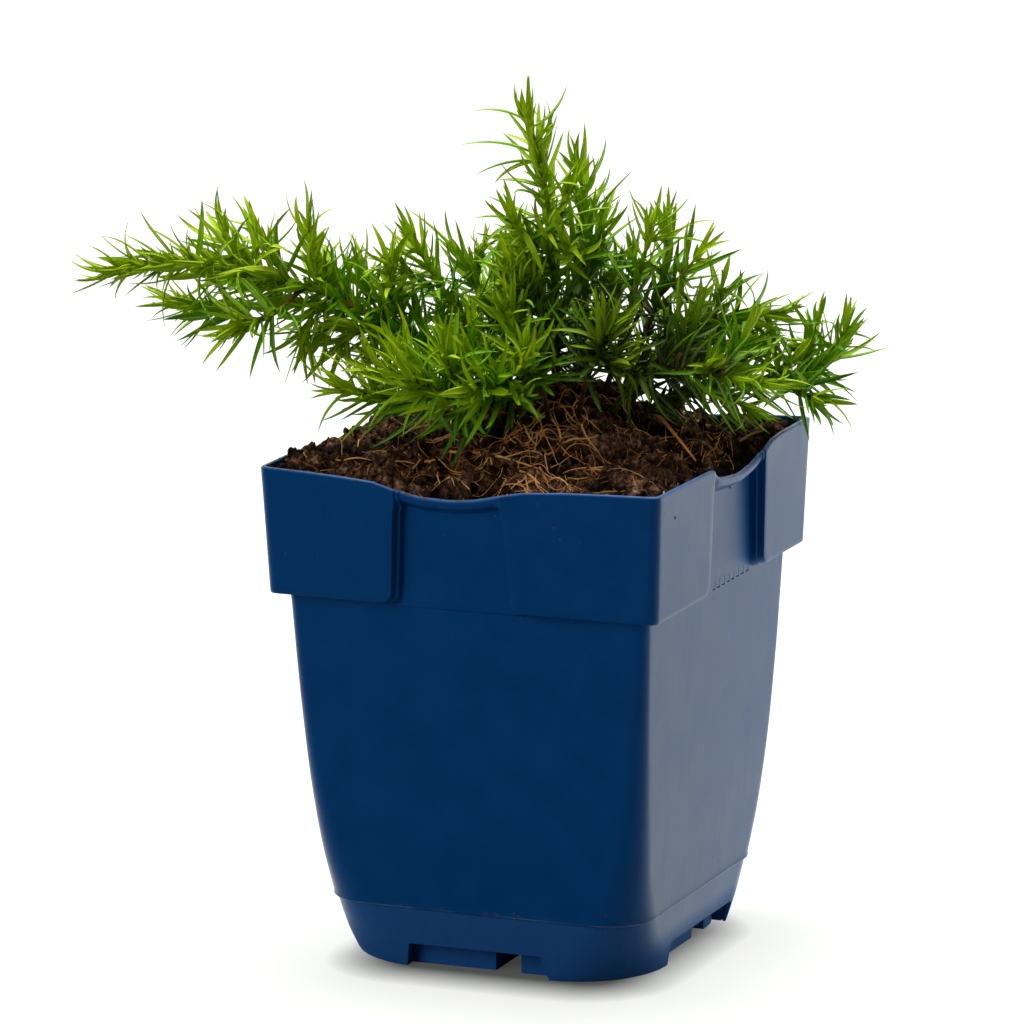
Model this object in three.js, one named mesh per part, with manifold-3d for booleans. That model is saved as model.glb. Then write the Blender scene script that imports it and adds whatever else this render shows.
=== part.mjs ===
import * as THREE from 'three';
import { mergeVertices } from 'three/addons/utils/BufferGeometryUtils.js';
import Module from 'manifold-3d';

// Creeping phlox in a square nursery pot. Millimetres, +Z up.
// The origin is the middle of the pot's base, on the ground. Face A of the pot looks along -Y.

// Driving dimensions of the pot
const RIM_HEIGHT = 108.8;
const RIM_HALF = 45;
const WALL = 1;
const FLOOR = 1.2;
const CORNER_STEPS = 2;
const BLOCK_BOTTOM = 81.3;
const BLOCK_BOTTOM_HALF = 43.76;
const BLOCK_RADIUS = 2.2;
const FOOT_HEIGHT = 5.2;
const FIT_GAP = 0.3;

// Height, half width and corner radius of the pot's body, from the ground to the rim
const BODY = [
  [0, 35.0, 19.5],
  [5.2, 35.6, 15.5],
  [13.2, 36.2, 10.6],
  [13.6, 36.6, 10.4],
  [23, 37.4, 7],
  [36, 38.5, 4.9],
  [56, 39.7, 3.1],
  [80.1, 40.9, 2.2],
  [80.6, 41.4, 2.2],
  [RIM_HEIGHT, 41.7, 2.2],
];
const INSIDE_LEVELS = [0, 2, 4, 5, 6, 7, 9];

// The recessed panel in the band, left and right edge, seen from outside each face
const PANELS = [
  { face: 0, bottom: [-15.7, 12.2], top: [-14.1, 9.4] },
  { face: 1, bottom: [-13.1, 18.8], top: [-12.5, 17] },
  { face: 2, bottom: [-15.7, 12.2], top: [-14.1, 9.4] },
  { face: 3, bottom: [-13.1, 18.8], top: [-12.5, 17] },
];

// The rim's scoop above a panel: place along the face and height of the edge
const SCOOP_A = [
  [-44, 108.8], [-31, 108.3], [-19, 107.5], [-14.3, 106], [-8.6, 104.8], [-1.8, 104.6],
  [3.9, 105.1], [10.7, 106.7], [14, 107.5], [27, 108.4], [44, 108.8],
];
const SCOOP_B = [
  [-44, 108.8], [-30, 108.6], [-15, 108.1], [-11.6, 106.5], [-8, 105.8], [-0.4, 105.5],
  [7.3, 106], [12.4, 107], [18.7, 108.2], [31, 108.6], [44, 108.8],
];
const LIP_HEIGHT = 3.2;
const LIP_FOOT = 1.9;
const LIP_REACH = 44.5;
const FACE_HALF = 41.6;

// The feet under the pot
const NOTCH_A = { bottom: [-17.1, 16.2], top: [-16.2, 14] };
const NOTCH_B = { bottom: [-15.5, 22.3], top: [-14.5, 21.2] };
const SKIRT_INSIDE = 1;
const PLINTH_HALF = 31.6;
const PLINTH_RADIUS = 15;
const CHANNEL_A = [2.25, 8.1];
const CHANNEL_B = [7.3, 14.5];
const CHANNEL_END = 10;
const DRAIN_RADIUS = 2.2;
const DRAINS = [[5.2, -20], [-5.2, 20], [22, 10.9], [-22, -10.9]];
const RIB = 1.2;

// The soil
const SOIL_LEVEL = 107;
const MOUND = { x: 4, y: 8, height: 12.5, spread: 15 };
const BANK = { x: -42, y: 6, height: 3.4, spread: 17 };
const DENT = { x: 42, y: 42, height: -1.8, spread: 5 };
const SOIL_HALF = 40.4;
const SOIL_TILT = [-0.03, 0.02];
const CORNER_RISE = 1.2;
const WALL_SINK = 2.6;
const SOIL_TOP = 124;
const SOIL_GRID = 16;
const LUMP = 0.8;
const ROOT_SIDES = 3;
const ROOT_STEPS = 4;

// Routes of the roots that lie on the soil: places seen from above, and their radius
const ROOTS = [
  { places: [[16, -2], [22, -10], [28, -20], [32, -27]], radius: 0.6 },
  { places: [[-2, -24], [6, -27], [13, -28], [19, -34]], radius: 0.5 },
  { places: [[9, -8], [15, -12], [17, -18], [14, -24]], radius: 0.5 },
  { places: [[-29, -33], [-22, -33], [-14, -35], [-8, -36]], radius: 0.6 },
  { places: [[24, -6], [30, -3], [33, 4], [36, 9]], radius: 0.5 },
  { places: [[-28, 6], [-31, 14], [-27, 22], [-20, 26]], radius: 0.5 },
];

// Stems and leaves
const STEM_SIDES = 4;
const SIDE_SIDES = 3;
const SIDE_STEPS = 2;
const HOLE_GAP = 0.35;
const STEM_TAPER = 0.45;
const SIDE_RADIUS = 0.6;
const SIDE_BARE = 0.25;
const CLOSE = 0.002;
const LEAF_WIDTH = 1.9;
const LEAF_KEEL = 0.42;
const LEAF_WIDEST = 0.33;
const SHORT_LEAF = 0.62;
const LONG_LEAF = 0.026;
const CLEARANCE = 0.35;
const OWN_CLEARANCE = 1;
const CELL = 4;
const SEED = 20417;
const PROBES = [0.18, 0.32, 0.46, 0.6, 0.74, 0.88, 1];
const TURN = Math.PI / 180;

// How the leaves stand on a stem: turns and leans in degrees, lengths and curls as shares
const CROWDING = 0.92;
const PAIR_TURN = 90;
const PAIR_SWAY = 40;
const LEAF_SWAY = 24;
const LEAN = { low: 66, less: 44, sway: 18 };
const LENGTH = { least: 0.86, spread: 0.36, less: 0.28 };
const CURL = { least: -0.1, spread: 0.36 };

// The ways a leaf may give way to its neighbours: turn round the stem, lean, share of length
const GIVE = [
  [0, 0, 1], [14, 0, 1], [-14, 0, 1], [0, -12, 1], [28, 0, 1], [-28, 0, 1], [0, 12, 1],
  [0, 0, 0.8], [20, -10, 0.8], [-20, -10, 0.8], [40, -15, 0.8], [-40, -15, 0.8],
  [0, -20, 0.65], [60, 0, 0.65], [-60, 0, 0.65],
];

// Each shoot: where its stem stands in the soil and the three points that lead it to its tip,
// its radius, the share of the stem that is bare, its leaf pairs and its leaf length.
// A side shoot starts on the stem at the share given and has three points of its own.
const SHOOTS = [
  { name: 'shoot_left_long', route: [[-5, 3, 109], [-22, -11, 139], [-58, -35, 155], [-77, -48, 149]],
    radius: 1.3, bare: 0.2, pairs: 22, length: 14.5, sides: [
      { at: 0.57, route: [[-56, -27, 136], [-62, -28, 138], [-70, -32, 140]], pairs: 7, length: 14 },
      { at: 0.54, route: [[-45, -34, 139], [-47, -39, 139], [-51, -43, 138]], pairs: 5, length: 13 },
      { at: 0.46, route: [[-40, -19, 141], [-41, -19, 144], [-42, -20, 148]], pairs: 3, length: 11 },
      { at: 0.36, route: [[-34, -11, 139], [-36, -11, 142], [-37, -10, 146]], pairs: 3, length: 11 },
    ] },
  { name: 'shoot_left_up', route: [[-4, 9, 110], [-14, -2, 132], [-20, -6, 141], [-24, -10, 152]],
    radius: 1.1, bare: 0.3, pairs: 10, length: 12.5, sides: [] },
  { name: 'shoot_left_back', route: [[-5, 15, 110], [-12, 9, 131], [-15, 5, 138], [-18, 2, 146]],
    radius: 1, bare: 0.3, pairs: 10, length: 12, sides: [] },
  { name: 'shoot_top', route: [[1, 9, 110], [0, 8, 133], [3, 6, 158], [-1, -3, 179]],
    radius: 1.3, bare: 0.2, pairs: 18, length: 14.5, sides: [
      { at: 0.55, route: [[0, 2, 150], [-1, -5, 154], [-2, -9, 158]], pairs: 4, length: 11 },
    ] },
  { name: 'shoot_top_second', route: [[4, 15, 110], [3, 14, 133], [7, 16, 150], [4, 13, 166]],
    radius: 1.2, bare: 0.25, pairs: 14, length: 14, sides: [
      { at: 0.55, route: [[8, 13, 147], [10, 11, 151], [11, 9, 155]], pairs: 3, length: 11 },
      { at: 0.52, route: [[7, 7, 145], [8, 2, 149], [8, -3, 153]], pairs: 4, length: 12 },
    ] },
  { name: 'shoot_right_mid', route: [[9, 10, 110], [15, 11, 134], [20, 11, 145], [22, 9, 155]],
    radius: 1.1, bare: 0.3, pairs: 13, length: 12.5, sides: [] },
  { name: 'shoot_right_up', route: [[10, 18, 110], [15, 20, 130], [24, 19, 140], [23, 16, 153]],
    radius: 1.2, bare: 0.28, pairs: 12, length: 13.5, sides: [
      { at: 0.5, route: [[13, 23, 136], [11, 25, 141], [11, 25, 147]], pairs: 3, length: 11 },
      { at: 0.62, route: [[25, 15, 142], [29, 12, 145], [32, 11, 149]], pairs: 4, length: 13 },
    ] },
  { name: 'shoot_right_long', route: [[13, 13, 110], [22, 16, 132], [30, 21, 135], [43, 28, 134]],
    radius: 1.1, bare: 0.3, pairs: 13, length: 13, sides: [
      { at: 0.68, route: [[33, 19, 137], [34, 18, 139], [35, 18, 142]], pairs: 2, length: 10 },
    ] },
  { name: 'shoot_right_front', route: [[13, 4, 110], [22, 0, 132], [40, -7, 127], [54, -5, 126]],
    radius: 1.3, bare: 0.28, pairs: 13, length: 14, sides: [
      { at: 0.5, route: [[33, -2, 131], [35, 1, 134], [35, 3, 137]], pairs: 4, length: 13 },
      { at: 0.74, route: [[44, -3, 129], [46, -1, 132], [47, 0, 135]], pairs: 3, length: 12 },
    ] },
  { name: 'shoot_right_far', route: [[15, 19, 110], [28, 26, 124], [53, 38, 113], [56, 37, 130]],
    radius: 1.1, bare: 0.3, pairs: 14, length: 12.5, sides: [
      { at: 0.7, route: [[47, 38, 119], [46, 41, 121], [46, 43, 125]], pairs: 4, length: 11 },
      { at: 0.6, route: [[47, 27, 118], [50, 26, 118], [54, 25, 117]], pairs: 4, length: 12 },
    ] },
  { name: 'shoot_right_low', route: [[18, 9, 108], [21, 12, 122], [33, 14, 121], [42, 15, 116]],
    radius: 1, bare: 0.35, pairs: 9, length: 12, sides: [] },
  { name: 'shoot_front_left', route: [[-6, -4, 109], [-6, -15, 125], [-9, -27, 121], [-16, -33, 128]],
    radius: 1.2, bare: 0.3, pairs: 15, length: 15.5, sides: [
      { at: 0.6, route: [[-8, -27, 125], [-8, -29, 129], [-8, -31, 133]], pairs: 4, length: 14 },
    ] },
  { name: 'shoot_low_left', route: [[-10, -1, 108], [-16, -12, 120], [-23, -25, 119], [-31, -31, 124]],
    radius: 1, bare: 0.35, pairs: 10, length: 13, sides: [] },
  { name: 'shoot_front_mid', route: [[-1, -3, 110], [0, -15, 126], [2, -26, 124], [-1, -33, 126]],
    radius: 1.1, bare: 0.32, pairs: 12, length: 14, sides: [] },
  { name: 'shoot_centre_left', route: [[-1, 2, 110], [0, -5, 130], [0, -12, 134], [-1, -15, 139]],
    radius: 1, bare: 0.35, pairs: 9, length: 13, sides: [] },
  { name: 'shoot_centre_up', route: [[4, 4, 110], [2, 1, 132], [1, -2, 138], [0, -4, 145]],
    radius: 1.1, bare: 0.35, pairs: 10, length: 13.5, sides: [] },
  { name: 'shoot_centre_front', route: [[9, -1, 110], [13, -8, 127], [19, -11, 130], [20, -13, 135]],
    radius: 1.1, bare: 0.4, pairs: 10, length: 15, sides: [] },
  { name: 'shoot_front_right', route: [[4, -4, 110], [7, -12, 126], [6, -19, 128], [6, -23, 132]],
    radius: 1, bare: 0.38, pairs: 9, length: 13.5, sides: [] },
  { name: 'shoot_back_up', route: [[0, 20, 109], [5, 22, 129], [8, 23, 134], [8, 24, 140]],
    radius: 1, bare: 0.3, pairs: 9, length: 12, sides: [] },
  { name: 'shoot_back_left', route: [[-9, 19, 108], [-11, 18, 131], [-14, 16, 138], [-14, 14, 144]],
    radius: 1, bare: 0.3, pairs: 9, length: 12, sides: [] },
  { name: 'shoot_far_left', route: [[-11, 9, 108], [-16, 16, 124], [-24, 23, 126], [-31, 27, 126]],
    radius: 1, bare: 0.3, pairs: 10, length: 12, sides: [] },
  { name: 'shoot_far_back', route: [[-3, 25, 108], [-4, 31, 122], [-5, 36, 124], [-4, 42, 124]],
    radius: 1, bare: 0.3, pairs: 10, length: 12, sides: [] },
  { name: 'shoot_far_right', route: [[8, 25, 108], [14, 31, 122], [20, 36, 123], [26, 41, 121]],
    radius: 1, bare: 0.3, pairs: 9, length: 12, sides: [] },
];

// Colours, roughness and metalness
const PLASTIC = { color: 0x0b356b, roughness: 0.38, metalness: 0 };
const EARTH = { color: 0x2a1c12, roughness: 0.95, metalness: 0 };
const FOLIAGE = { color: 0x4d8a17, roughness: 0.5, metalness: 0 };

const wasm = await Module();
wasm.setup();

// A closed three.js geometry as a solid that can be joined and cut
function toSolid(geometry) {
  geometry.deleteAttribute('normal');
  geometry.deleteAttribute('uv');
  const merged = mergeVertices(geometry, 1e-4);
  const corners = merged.index.array;
  const kept = [];
  for (let i = 0; i < corners.length; i += 3) {
    const [a, b, c] = corners.slice(i, i + 3);
    if (a !== b && b !== c && c !== a) kept.push(a, b, c);
  }
  return new wasm.Manifold(new wasm.Mesh({
    numProp: 3,
    vertProperties: new Float32Array(merged.attributes.position.array),
    triVerts: new Uint32Array(kept),
  }));
}

// A named mesh of a finished solid
function toMesh(name, solid, finish) {
  const { vertProperties, triVerts } = solid.getMesh();
  const geometry = new THREE.BufferGeometry();
  geometry.setAttribute('position', new THREE.BufferAttribute(vertProperties, 3));
  geometry.setIndex(new THREE.BufferAttribute(triVerts, 1));
  geometry.computeVertexNormals();
  const mesh = new THREE.Mesh(geometry, new THREE.MeshStandardMaterial(finish));
  mesh.name = name;
  return mesh;
}

// Moves every vertex of a geometry to the place that a rule gives it
function reshape(geometry, rule) {
  const position = geometry.attributes.position;
  const place = new THREE.Vector3();
  for (let i = 0; i < position.count; i++) {
    place.fromBufferAttribute(position, i);
    rule(place);
    position.setXYZ(i, place.x, place.y, place.z);
  }
  return geometry;
}

// A straight-sided prism whose outline stands upright on a face, from one depth to another
function facePrism(outline, near, far, face) {
  const shape = new THREE.Shape(outline.map(([s, z]) => new THREE.Vector2(s, z)));
  const geometry = new THREE.ExtrudeGeometry(shape, { depth: far - near, bevelEnabled: false });
  geometry.translate(0, 0, near);
  geometry.rotateX(Math.PI / 2);
  geometry.rotateZ(face * Math.PI / 2);
  return toSolid(geometry);
}

function box(x0, x1, y0, y1, z0, z1) {
  const geometry = new THREE.BoxGeometry(x1 - x0, y1 - y0, z1 - z0);
  geometry.translate((x0 + x1) / 2, (y0 + y1) / 2, (z0 + z1) / 2);
  return toSolid(geometry);
}

// A column with a rounded square outline that changes from level to level
function squareColumn(levels) {
  const outline = new THREE.Shape();
  for (let corner = 0; corner < 4; corner++) {
    const start = corner * Math.PI / 2;
    const middle = start + Math.PI / 4;
    const x = Math.sign(Math.cos(middle));
    const y = Math.sign(Math.sin(middle));
    outline.absarc(x, y, 1, start, start + Math.PI / 2);
  }
  const steps = levels.length - 1;
  const geometry = new THREE.ExtrudeGeometry(outline, {
    depth: steps, steps, bevelEnabled: false, curveSegments: CORNER_STEPS,
  });
  return toSolid(reshape(geometry, (place) => {
    const [height, half, radius] = levels[Math.round(place.z)];
    const [sx, sy] = [Math.sign(place.x), Math.sign(place.y)];
    const x = sx * (half - radius) + (place.x - sx) * radius;
    const y = sy * (half - radius) + (place.y - sy) * radius;
    place.set(x, y, height);
  }));
}

function inset(levels, by) {
  return levels.map(([height, half, radius]) => [height, half - by, Math.max(radius - by, 0.5)]);
}

// The height of a scoop's edge at a place along the face
function edgeHeight(scoop, s) {
  const next = Math.max(1, scoop.findIndex(([place]) => place >= s));
  const [s0, z0] = scoop[next - 1];
  const [s1, z1] = scoop[next];
  return z0 + (z1 - z0) * (s - s0) / (s1 - s0);
}

// The lip that flares outward under a scoop's edge, as a bar that follows the edge
function lipBar(panel, scoop, by) {
  const reach = LIP_REACH - by * 1.1;
  const foot = FACE_HALF - by;
  const section = new THREE.Shape([
    new THREE.Vector2(foot - 2, -LIP_HEIGHT - by),
    new THREE.Vector2(foot, -LIP_HEIGHT),
    new THREE.Vector2(reach - 0.4, -LIP_FOOT),
    new THREE.Vector2(reach, 0.5),
    new THREE.Vector2(foot - 2, 0.5),
  ]);
  const [start, end] = [panel.top[0] - 0.5 + by, panel.top[1] + 0.5 - by];
  const stations = scoop.map(([s]) => s).filter((s) => s > start + 1 && s < end - 1);
  const places = [start, ...stations, end];
  const steps = places.length - 1;
  const geometry = new THREE.ExtrudeGeometry(section, { depth: steps, steps, bevelEnabled: false });
  reshape(geometry, (place) => {
    const s = places[steps - Math.round(place.z)];
    place.set(s, -place.x, place.y + edgeHeight(scoop, s));
  });
  geometry.rotateZ(panel.face * Math.PI / 2);
  return toSolid(geometry);
}

function scoopOf(face) {
  return face % 2 === 0 ? SCOOP_A : SCOOP_B;
}

// The pot's body and corner blocks, taken in by the same amount
function potVolume(by) {
  const levels = by > 0 ? INSIDE_LEVELS.map((level) => BODY[level]) : BODY;
  const body = squareColumn(inset(levels, by));
  const blockBottom = BLOCK_BOTTOM + by;
  let blocks = squareColumn(inset([
    [blockBottom, BLOCK_BOTTOM_HALF, BLOCK_RADIUS],
    [RIM_HEIGHT, RIM_HALF, BLOCK_RADIUS],
  ], by));
  for (const panel of PANELS) {
    const [b0, b1] = panel.bottom;
    const [t0, t1] = panel.top;
    const outline = [
      [b0 - by, BLOCK_BOTTOM - 3], [b1 + by, BLOCK_BOTTOM - 3],
      [t1 + by, RIM_HEIGHT + 3], [t0 - by, RIM_HEIGHT + 3],
    ];
    blocks = blocks.subtract(facePrism(outline, 35, 60, panel.face));
  }
  return body.add(blocks);
}

function addLips(volume, by) {
  return PANELS.reduce((sum, panel) => sum.add(lipBar(panel, scoopOf(panel.face), by)), volume);
}

// The foot blocks inside the skirt, taken in by the amount given, with the channels between them
function plinth(by, bottom, top) {
  let blocks = squareColumn([
    [bottom, PLINTH_HALF - by, PLINTH_RADIUS - by],
    [top, PLINTH_HALF - by, PLINTH_RADIUS - by],
  ]);
  const [a0, a1] = [CHANNEL_A[0] - by, CHANNEL_A[1] + by];
  const [b0, b1] = [CHANNEL_B[0] - by, CHANNEL_B[1] + by];
  const end = CHANNEL_END + by;
  blocks = blocks.subtract(box(a0, a1, -50, end, bottom - 1, top + 1));
  blocks = blocks.subtract(box(-a1, -a0, -end, 50, bottom - 1, top + 1));
  blocks = blocks.subtract(box(a0, 50, b0, b1, bottom - 1, top + 1));
  return blocks.subtract(box(-50, -a0, -b1, -b0, bottom - 1, top + 1));
}

// The room inside the pot and over it, taken in from the pot's outside by the amount given
function potRoom(by, floor) {
  const inside = box(-60, 60, -60, 60, FOOT_HEIGHT + floor, RIM_HEIGHT);
  const [, half, radius] = BODY[BODY.length - 1];
  const over = squareColumn(inset([[RIM_HEIGHT - 1, half, radius], [SOIL_TOP, half, radius]], by));
  return potVolume(by).intersect(inside).add(over);
}

function makePot() {
  let pot = addLips(potVolume(0), 0).subtract(addLips(potRoom(WALL, FLOOR), WALL));
  for (let face = 0; face < 4; face++) {
    const scoop = scoopOf(face);
    const over = [[60, RIM_HEIGHT], [60, RIM_HEIGHT + 9], [-60, RIM_HEIGHT + 9], [-60, RIM_HEIGHT]];
    pot = pot.subtract(facePrism([...scoop, ...over], 30, 60, face));
    const notch = face % 2 === 0 ? NOTCH_A : NOTCH_B;
    const opening = [
      [notch.bottom[0], -1], [notch.bottom[1], -1],
      [notch.top[1], FOOT_HEIGHT], [notch.top[0], FOOT_HEIGHT],
    ];
    pot = pot.subtract(facePrism(opening, PLINTH_HALF + 1, 60, face));
  }
  const skirt = squareColumn([
    [-1, BODY[0][1] - SKIRT_INSIDE, BODY[0][2] - SKIRT_INSIDE],
    [FOOT_HEIGHT, BODY[1][1] - SKIRT_INSIDE, BODY[1][2] - SKIRT_INSIDE],
  ]);
  const centreBar = box(-CHANNEL_A[0], CHANNEL_A[0], -CHANNEL_END, CHANNEL_END, 0, FOOT_HEIGHT + 1);
  const cells = plinth(RIB, -2, FOOT_HEIGHT + 1).subtract(centreBar);
  pot = pot.subtract(skirt.subtract(plinth(0, -2, FOOT_HEIGHT + 1).subtract(cells)));
  for (const [x, y] of DRAINS) {
    const hole = new THREE.CylinderGeometry(DRAIN_RADIUS, DRAIN_RADIUS, 6, 6);
    hole.rotateX(Math.PI / 2);
    hole.translate(x, y, FOOT_HEIGHT);
    pot = pot.subtract(toSolid(hole));
  }
  return pot;
}

// A round swelling of the soil, or a dent where its height is below zero
function swelling(x, y, form) {
  const away = ((x - form.x) ** 2 + (y - form.y) ** 2) / (2 * form.spread ** 2);
  return form.height * Math.exp(-away);
}

// The height of the soil at a place seen from above
function soilTop(x, y) {
  const corner = (x * y / SOIL_HALF ** 2) ** 2;
  const lumps = Math.sin(0.41 * x + 0.9) * Math.sin(0.37 * y - 0.4)
    + 0.7 * Math.sin(0.83 * x - 0.31 * y) * Math.sin(0.71 * y + 0.27 * x + 1.3)
    + 0.5 * Math.sin(1.27 * x + 0.6 * y) * Math.sin(1.13 * y - 0.5 * x);
  const reach = Math.max(x, -y) / SOIL_HALF;
  const along = Math.min(Math.abs(x), Math.abs(y)) / SOIL_HALF;
  const sink = WALL_SINK * Math.max(0, reach) ** 10 * Math.max(0, 1 - along ** 2);
  const swell = swelling(x, y, MOUND) + swelling(x, y, BANK) + swelling(x, y, DENT);
  const slope = SOIL_TILT[0] * x + SOIL_TILT[1] * y;
  return SOIL_LEVEL + slope + CORNER_RISE * corner + swell + LUMP * lumps - sink;
}

// A round rod with few sides along a curve, from one share of it to another
function rod(curve, steps, sides, radiusAt, from, to) {
  const geometry = new THREE.CylinderGeometry(1, 1, 1, sides, steps);
  const reference = quietAxis(curve.getPoint(0), curve.getPoint(1));
  return toSolid(reshape(geometry, (place) => {
    const t = from + (to - from) * (place.y + 0.5);
    const centre = curve.getPoint(t);
    const [, across, over] = frameOn(curve, t, reference);
    const radius = radiusAt(t);
    const [x, z] = [place.x * radius, place.z * radius];
    place.copy(centre).addScaledVector(across, z).addScaledVector(over, x);
  }));
}

// The world axis that a line keeps most clear of
function quietAxis(start, end) {
  const way = end.clone().sub(start);
  const size = [Math.abs(way.x), Math.abs(way.y), Math.abs(way.z)];
  const axis = size.indexOf(Math.min(...size));
  return new THREE.Vector3(axis === 0 ? 1 : 0, axis === 1 ? 1 : 0, axis === 2 ? 1 : 0);
}

// The direction of a curve and two directions square to it
function frameOn(curve, t, reference) {
  const forward = curve.getPoint(t + CLOSE).sub(curve.getPoint(t - CLOSE)).normalize();
  const across = new THREE.Vector3().crossVectors(reference, forward).normalize();
  const over = new THREE.Vector3().crossVectors(forward, across);
  return [forward, across, over];
}

function stemCurve(points) {
  return new THREE.CubicBezierCurve3(...points.map((point) => new THREE.Vector3(...point)));
}

// Repeatable random numbers between 0 and 1
function makeRandom(seed) {
  let state = seed;
  return () => {
    state = (state + 0x6d2b79f5) >>> 0;
    let mixed = Math.imul(state ^ (state >>> 15), state | 1) >>> 0;
    mixed = (mixed ^ (mixed + Math.imul(mixed ^ (mixed >>> 7), mixed | 61))) >>> 0;
    return ((mixed ^ (mixed >>> 14)) >>> 0) / 4294967296;
  };
}

// The stems of one shoot: the main one, then its side shoots
function stemsOf(shoot) {
  const main = stemCurve(shoot.route);
  const stems = [{
    curve: main, radius: shoot.radius, bare: shoot.bare, pairs: shoot.pairs, length: shoot.length,
    steps: Math.round(shoot.pairs / 3) + 1, sides: STEM_SIDES,
  }];
  for (const side of shoot.sides) {
    const start = main.getPoint(side.at);
    stems.push({
      curve: stemCurve([start.toArray(), ...side.route]),
      radius: shoot.radius * SIDE_RADIUS, bare: SIDE_BARE, pairs: side.pairs, length: side.length,
      steps: SIDE_STEPS, sides: SIDE_SIDES,
    });
  }
  return stems;
}

function stemRadius(stem, t) {
  return stem.radius * (1 - STEM_TAPER * t);
}

// Remembers where stems and leaves are, so that a new leaf can be kept clear of them
class Room {
  constructor() {
    this.cells = new Map();
  }

  cell(x, y, z) {
    return `${Math.floor(x / CELL)},${Math.floor(y / CELL)},${Math.floor(z / CELL)}`;
  }

  add(place, radius, owner, loose) {
    const key = this.cell(place.x, place.y, place.z);
    if (!this.cells.has(key)) this.cells.set(key, []);
    this.cells.get(key).push([place.x, place.y, place.z, radius, owner, loose]);
  }

  taken(place, radius, owner, loose) {
    for (let i = -CELL; i <= CELL; i += CELL) {
      for (let j = -CELL; j <= CELL; j += CELL) {
        for (let k = -CELL; k <= CELL; k += CELL) {
          const found = this.cells.get(this.cell(place.x + i, place.y + j, place.z + k));
          if (found && found.some((other) => tooNear(place, radius, owner, loose, other))) return true;
        }
      }
    }
    return false;
  }
}

// Another shoot is kept clear of everywhere, a leaf's own shoot only past the leaf's first third
function tooNear(place, radius, owner, loose, [x, y, z, otherRadius, otherOwner, otherLoose]) {
  if (otherOwner === owner && !(loose && otherLoose)) return false;
  const touching = radius + otherRadius;
  const least = otherOwner === owner ? touching * OWN_CLEARANCE : touching + CLEARANCE;
  return (place.x - x) ** 2 + (place.y - y) ** 2 + (place.z - z) ** 2 < least * least;
}

// The half thickness that a leaf needs kept clear at a share of its length
function leafReach(leaf, u) {
  const widest = leaf.width / 2;
  return u < LEAF_WIDEST ? widest : widest * (1 - u) / (1 - LEAF_WIDEST) + 0.1;
}

function leafPoint(leaf, u) {
  return leaf.base.clone()
    .addScaledVector(leaf.forward, leaf.length * u)
    .addScaledVector(leaf.inward, leaf.length * leaf.curl * u * u);
}

// True where a leaf would touch the soil, the pot or another shoot
function blocked(leaf, room, owner) {
  for (const u of PROBES) {
    const place = leafPoint(leaf, u);
    const reach = leafReach(leaf, u);
    const out = Math.max(Math.abs(place.x), Math.abs(place.y));
    const overSoil = out < SOIL_HALF + 1;
    const overRim = out > SOIL_HALF - 1 && out < RIM_HALF + 1.6;
    if (overSoil && place.z < soilTop(place.x, place.y) + reach + CLEARANCE) return true;
    if (overRim && place.z < RIM_HEIGHT + reach + CLEARANCE) return true;
    if (room.taken(place, reach, owner, u > PROBES[0])) return true;
  }
  return false;
}

// One leaf, from its seat on the stem and the turn, lean and curl it grows with
function makeLeaf(seat, turn, lean, length, curl) {
  const out = seat.across.clone().multiplyScalar(Math.cos(turn * TURN))
    .addScaledVector(seat.over, Math.sin(turn * TURN));
  const forward = seat.forward.clone().multiplyScalar(Math.cos(lean * TURN))
    .addScaledVector(out, Math.sin(lean * TURN));
  const inward = seat.forward.clone().multiplyScalar(Math.sin(lean * TURN))
    .addScaledVector(out, -Math.cos(lean * TURN));
  const width = LEAF_WIDTH * (SHORT_LEAF + LONG_LEAF * length);
  return { base: seat.place, forward, inward, length, curl, width };
}

// The leaves of one stem: opposite pairs, each pair a quarter turn on from the last
function growLeaves(stem, random, room, owner) {
  const leaves = [];
  const reference = quietAxis(stem.curve.getPoint(0), stem.curve.getPoint(1));
  for (let pair = 0; pair < stem.pairs; pair++) {
    const share = (pair + 0.5) / stem.pairs;
    const t = stem.bare + (1 - stem.bare) * share ** CROWDING;
    const [forward, across, over] = frameOn(stem.curve, t, reference);
    const seat = { place: stem.curve.getPoint(t), forward, across, over };
    const pairTurn = PAIR_TURN * pair + PAIR_SWAY * (random() - 0.5);
    for (let side = 0; side < 2; side++) {
      const turn = pairTurn + 180 * side + LEAF_SWAY * (random() - 0.5);
      const lean = LEAN.low - LEAN.less * share ** 2 + LEAN.sway * (random() - 0.5);
      const fullness = LENGTH.least + LENGTH.spread * random();
      const length = stem.length * fullness * (1 - LENGTH.less * share ** 3);
      const curl = CURL.least + CURL.spread * random();
      const ways = GIVE.map(([turnMore, leanMore, lengthShare]) => (
        makeLeaf(seat, turn + turnMore, lean + leanMore, length * lengthShare, curl)
      ));
      const leaf = ways.find((way) => !blocked(way, room, owner));
      if (leaf) {
        leaves.push(leaf);
        for (const u of PROBES) room.add(leafPoint(leaf, u), leafReach(leaf, u), owner, u > PROBES[0]);
      }
    }
  }
  return leaves;
}

// A three-sided needle: flat above, keeled below, with its root on the middle line of the stem
function leafSolid(leaf) {
  const geometry = new THREE.ConeGeometry(2 * leaf.width / Math.sqrt(3), 2, 3, 2);
  const sideways = new THREE.Vector3().crossVectors(leaf.inward, leaf.forward);
  return toSolid(reshape(geometry, (place) => {
    const level = Math.round(place.y + 1);
    const swell = level === 1 ? 1 : 0;
    const aside = swell * place.x;
    const keel = -swell * LEAF_KEEL * (place.z + leaf.width / (2 * Math.sqrt(3))) * 2 / Math.sqrt(3);
    place.copy(leafPoint(leaf, [0, LEAF_WIDEST, 1][level]))
      .addScaledVector(sideways, aside)
      .addScaledVector(leaf.inward, keel);
  }));
}

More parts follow.
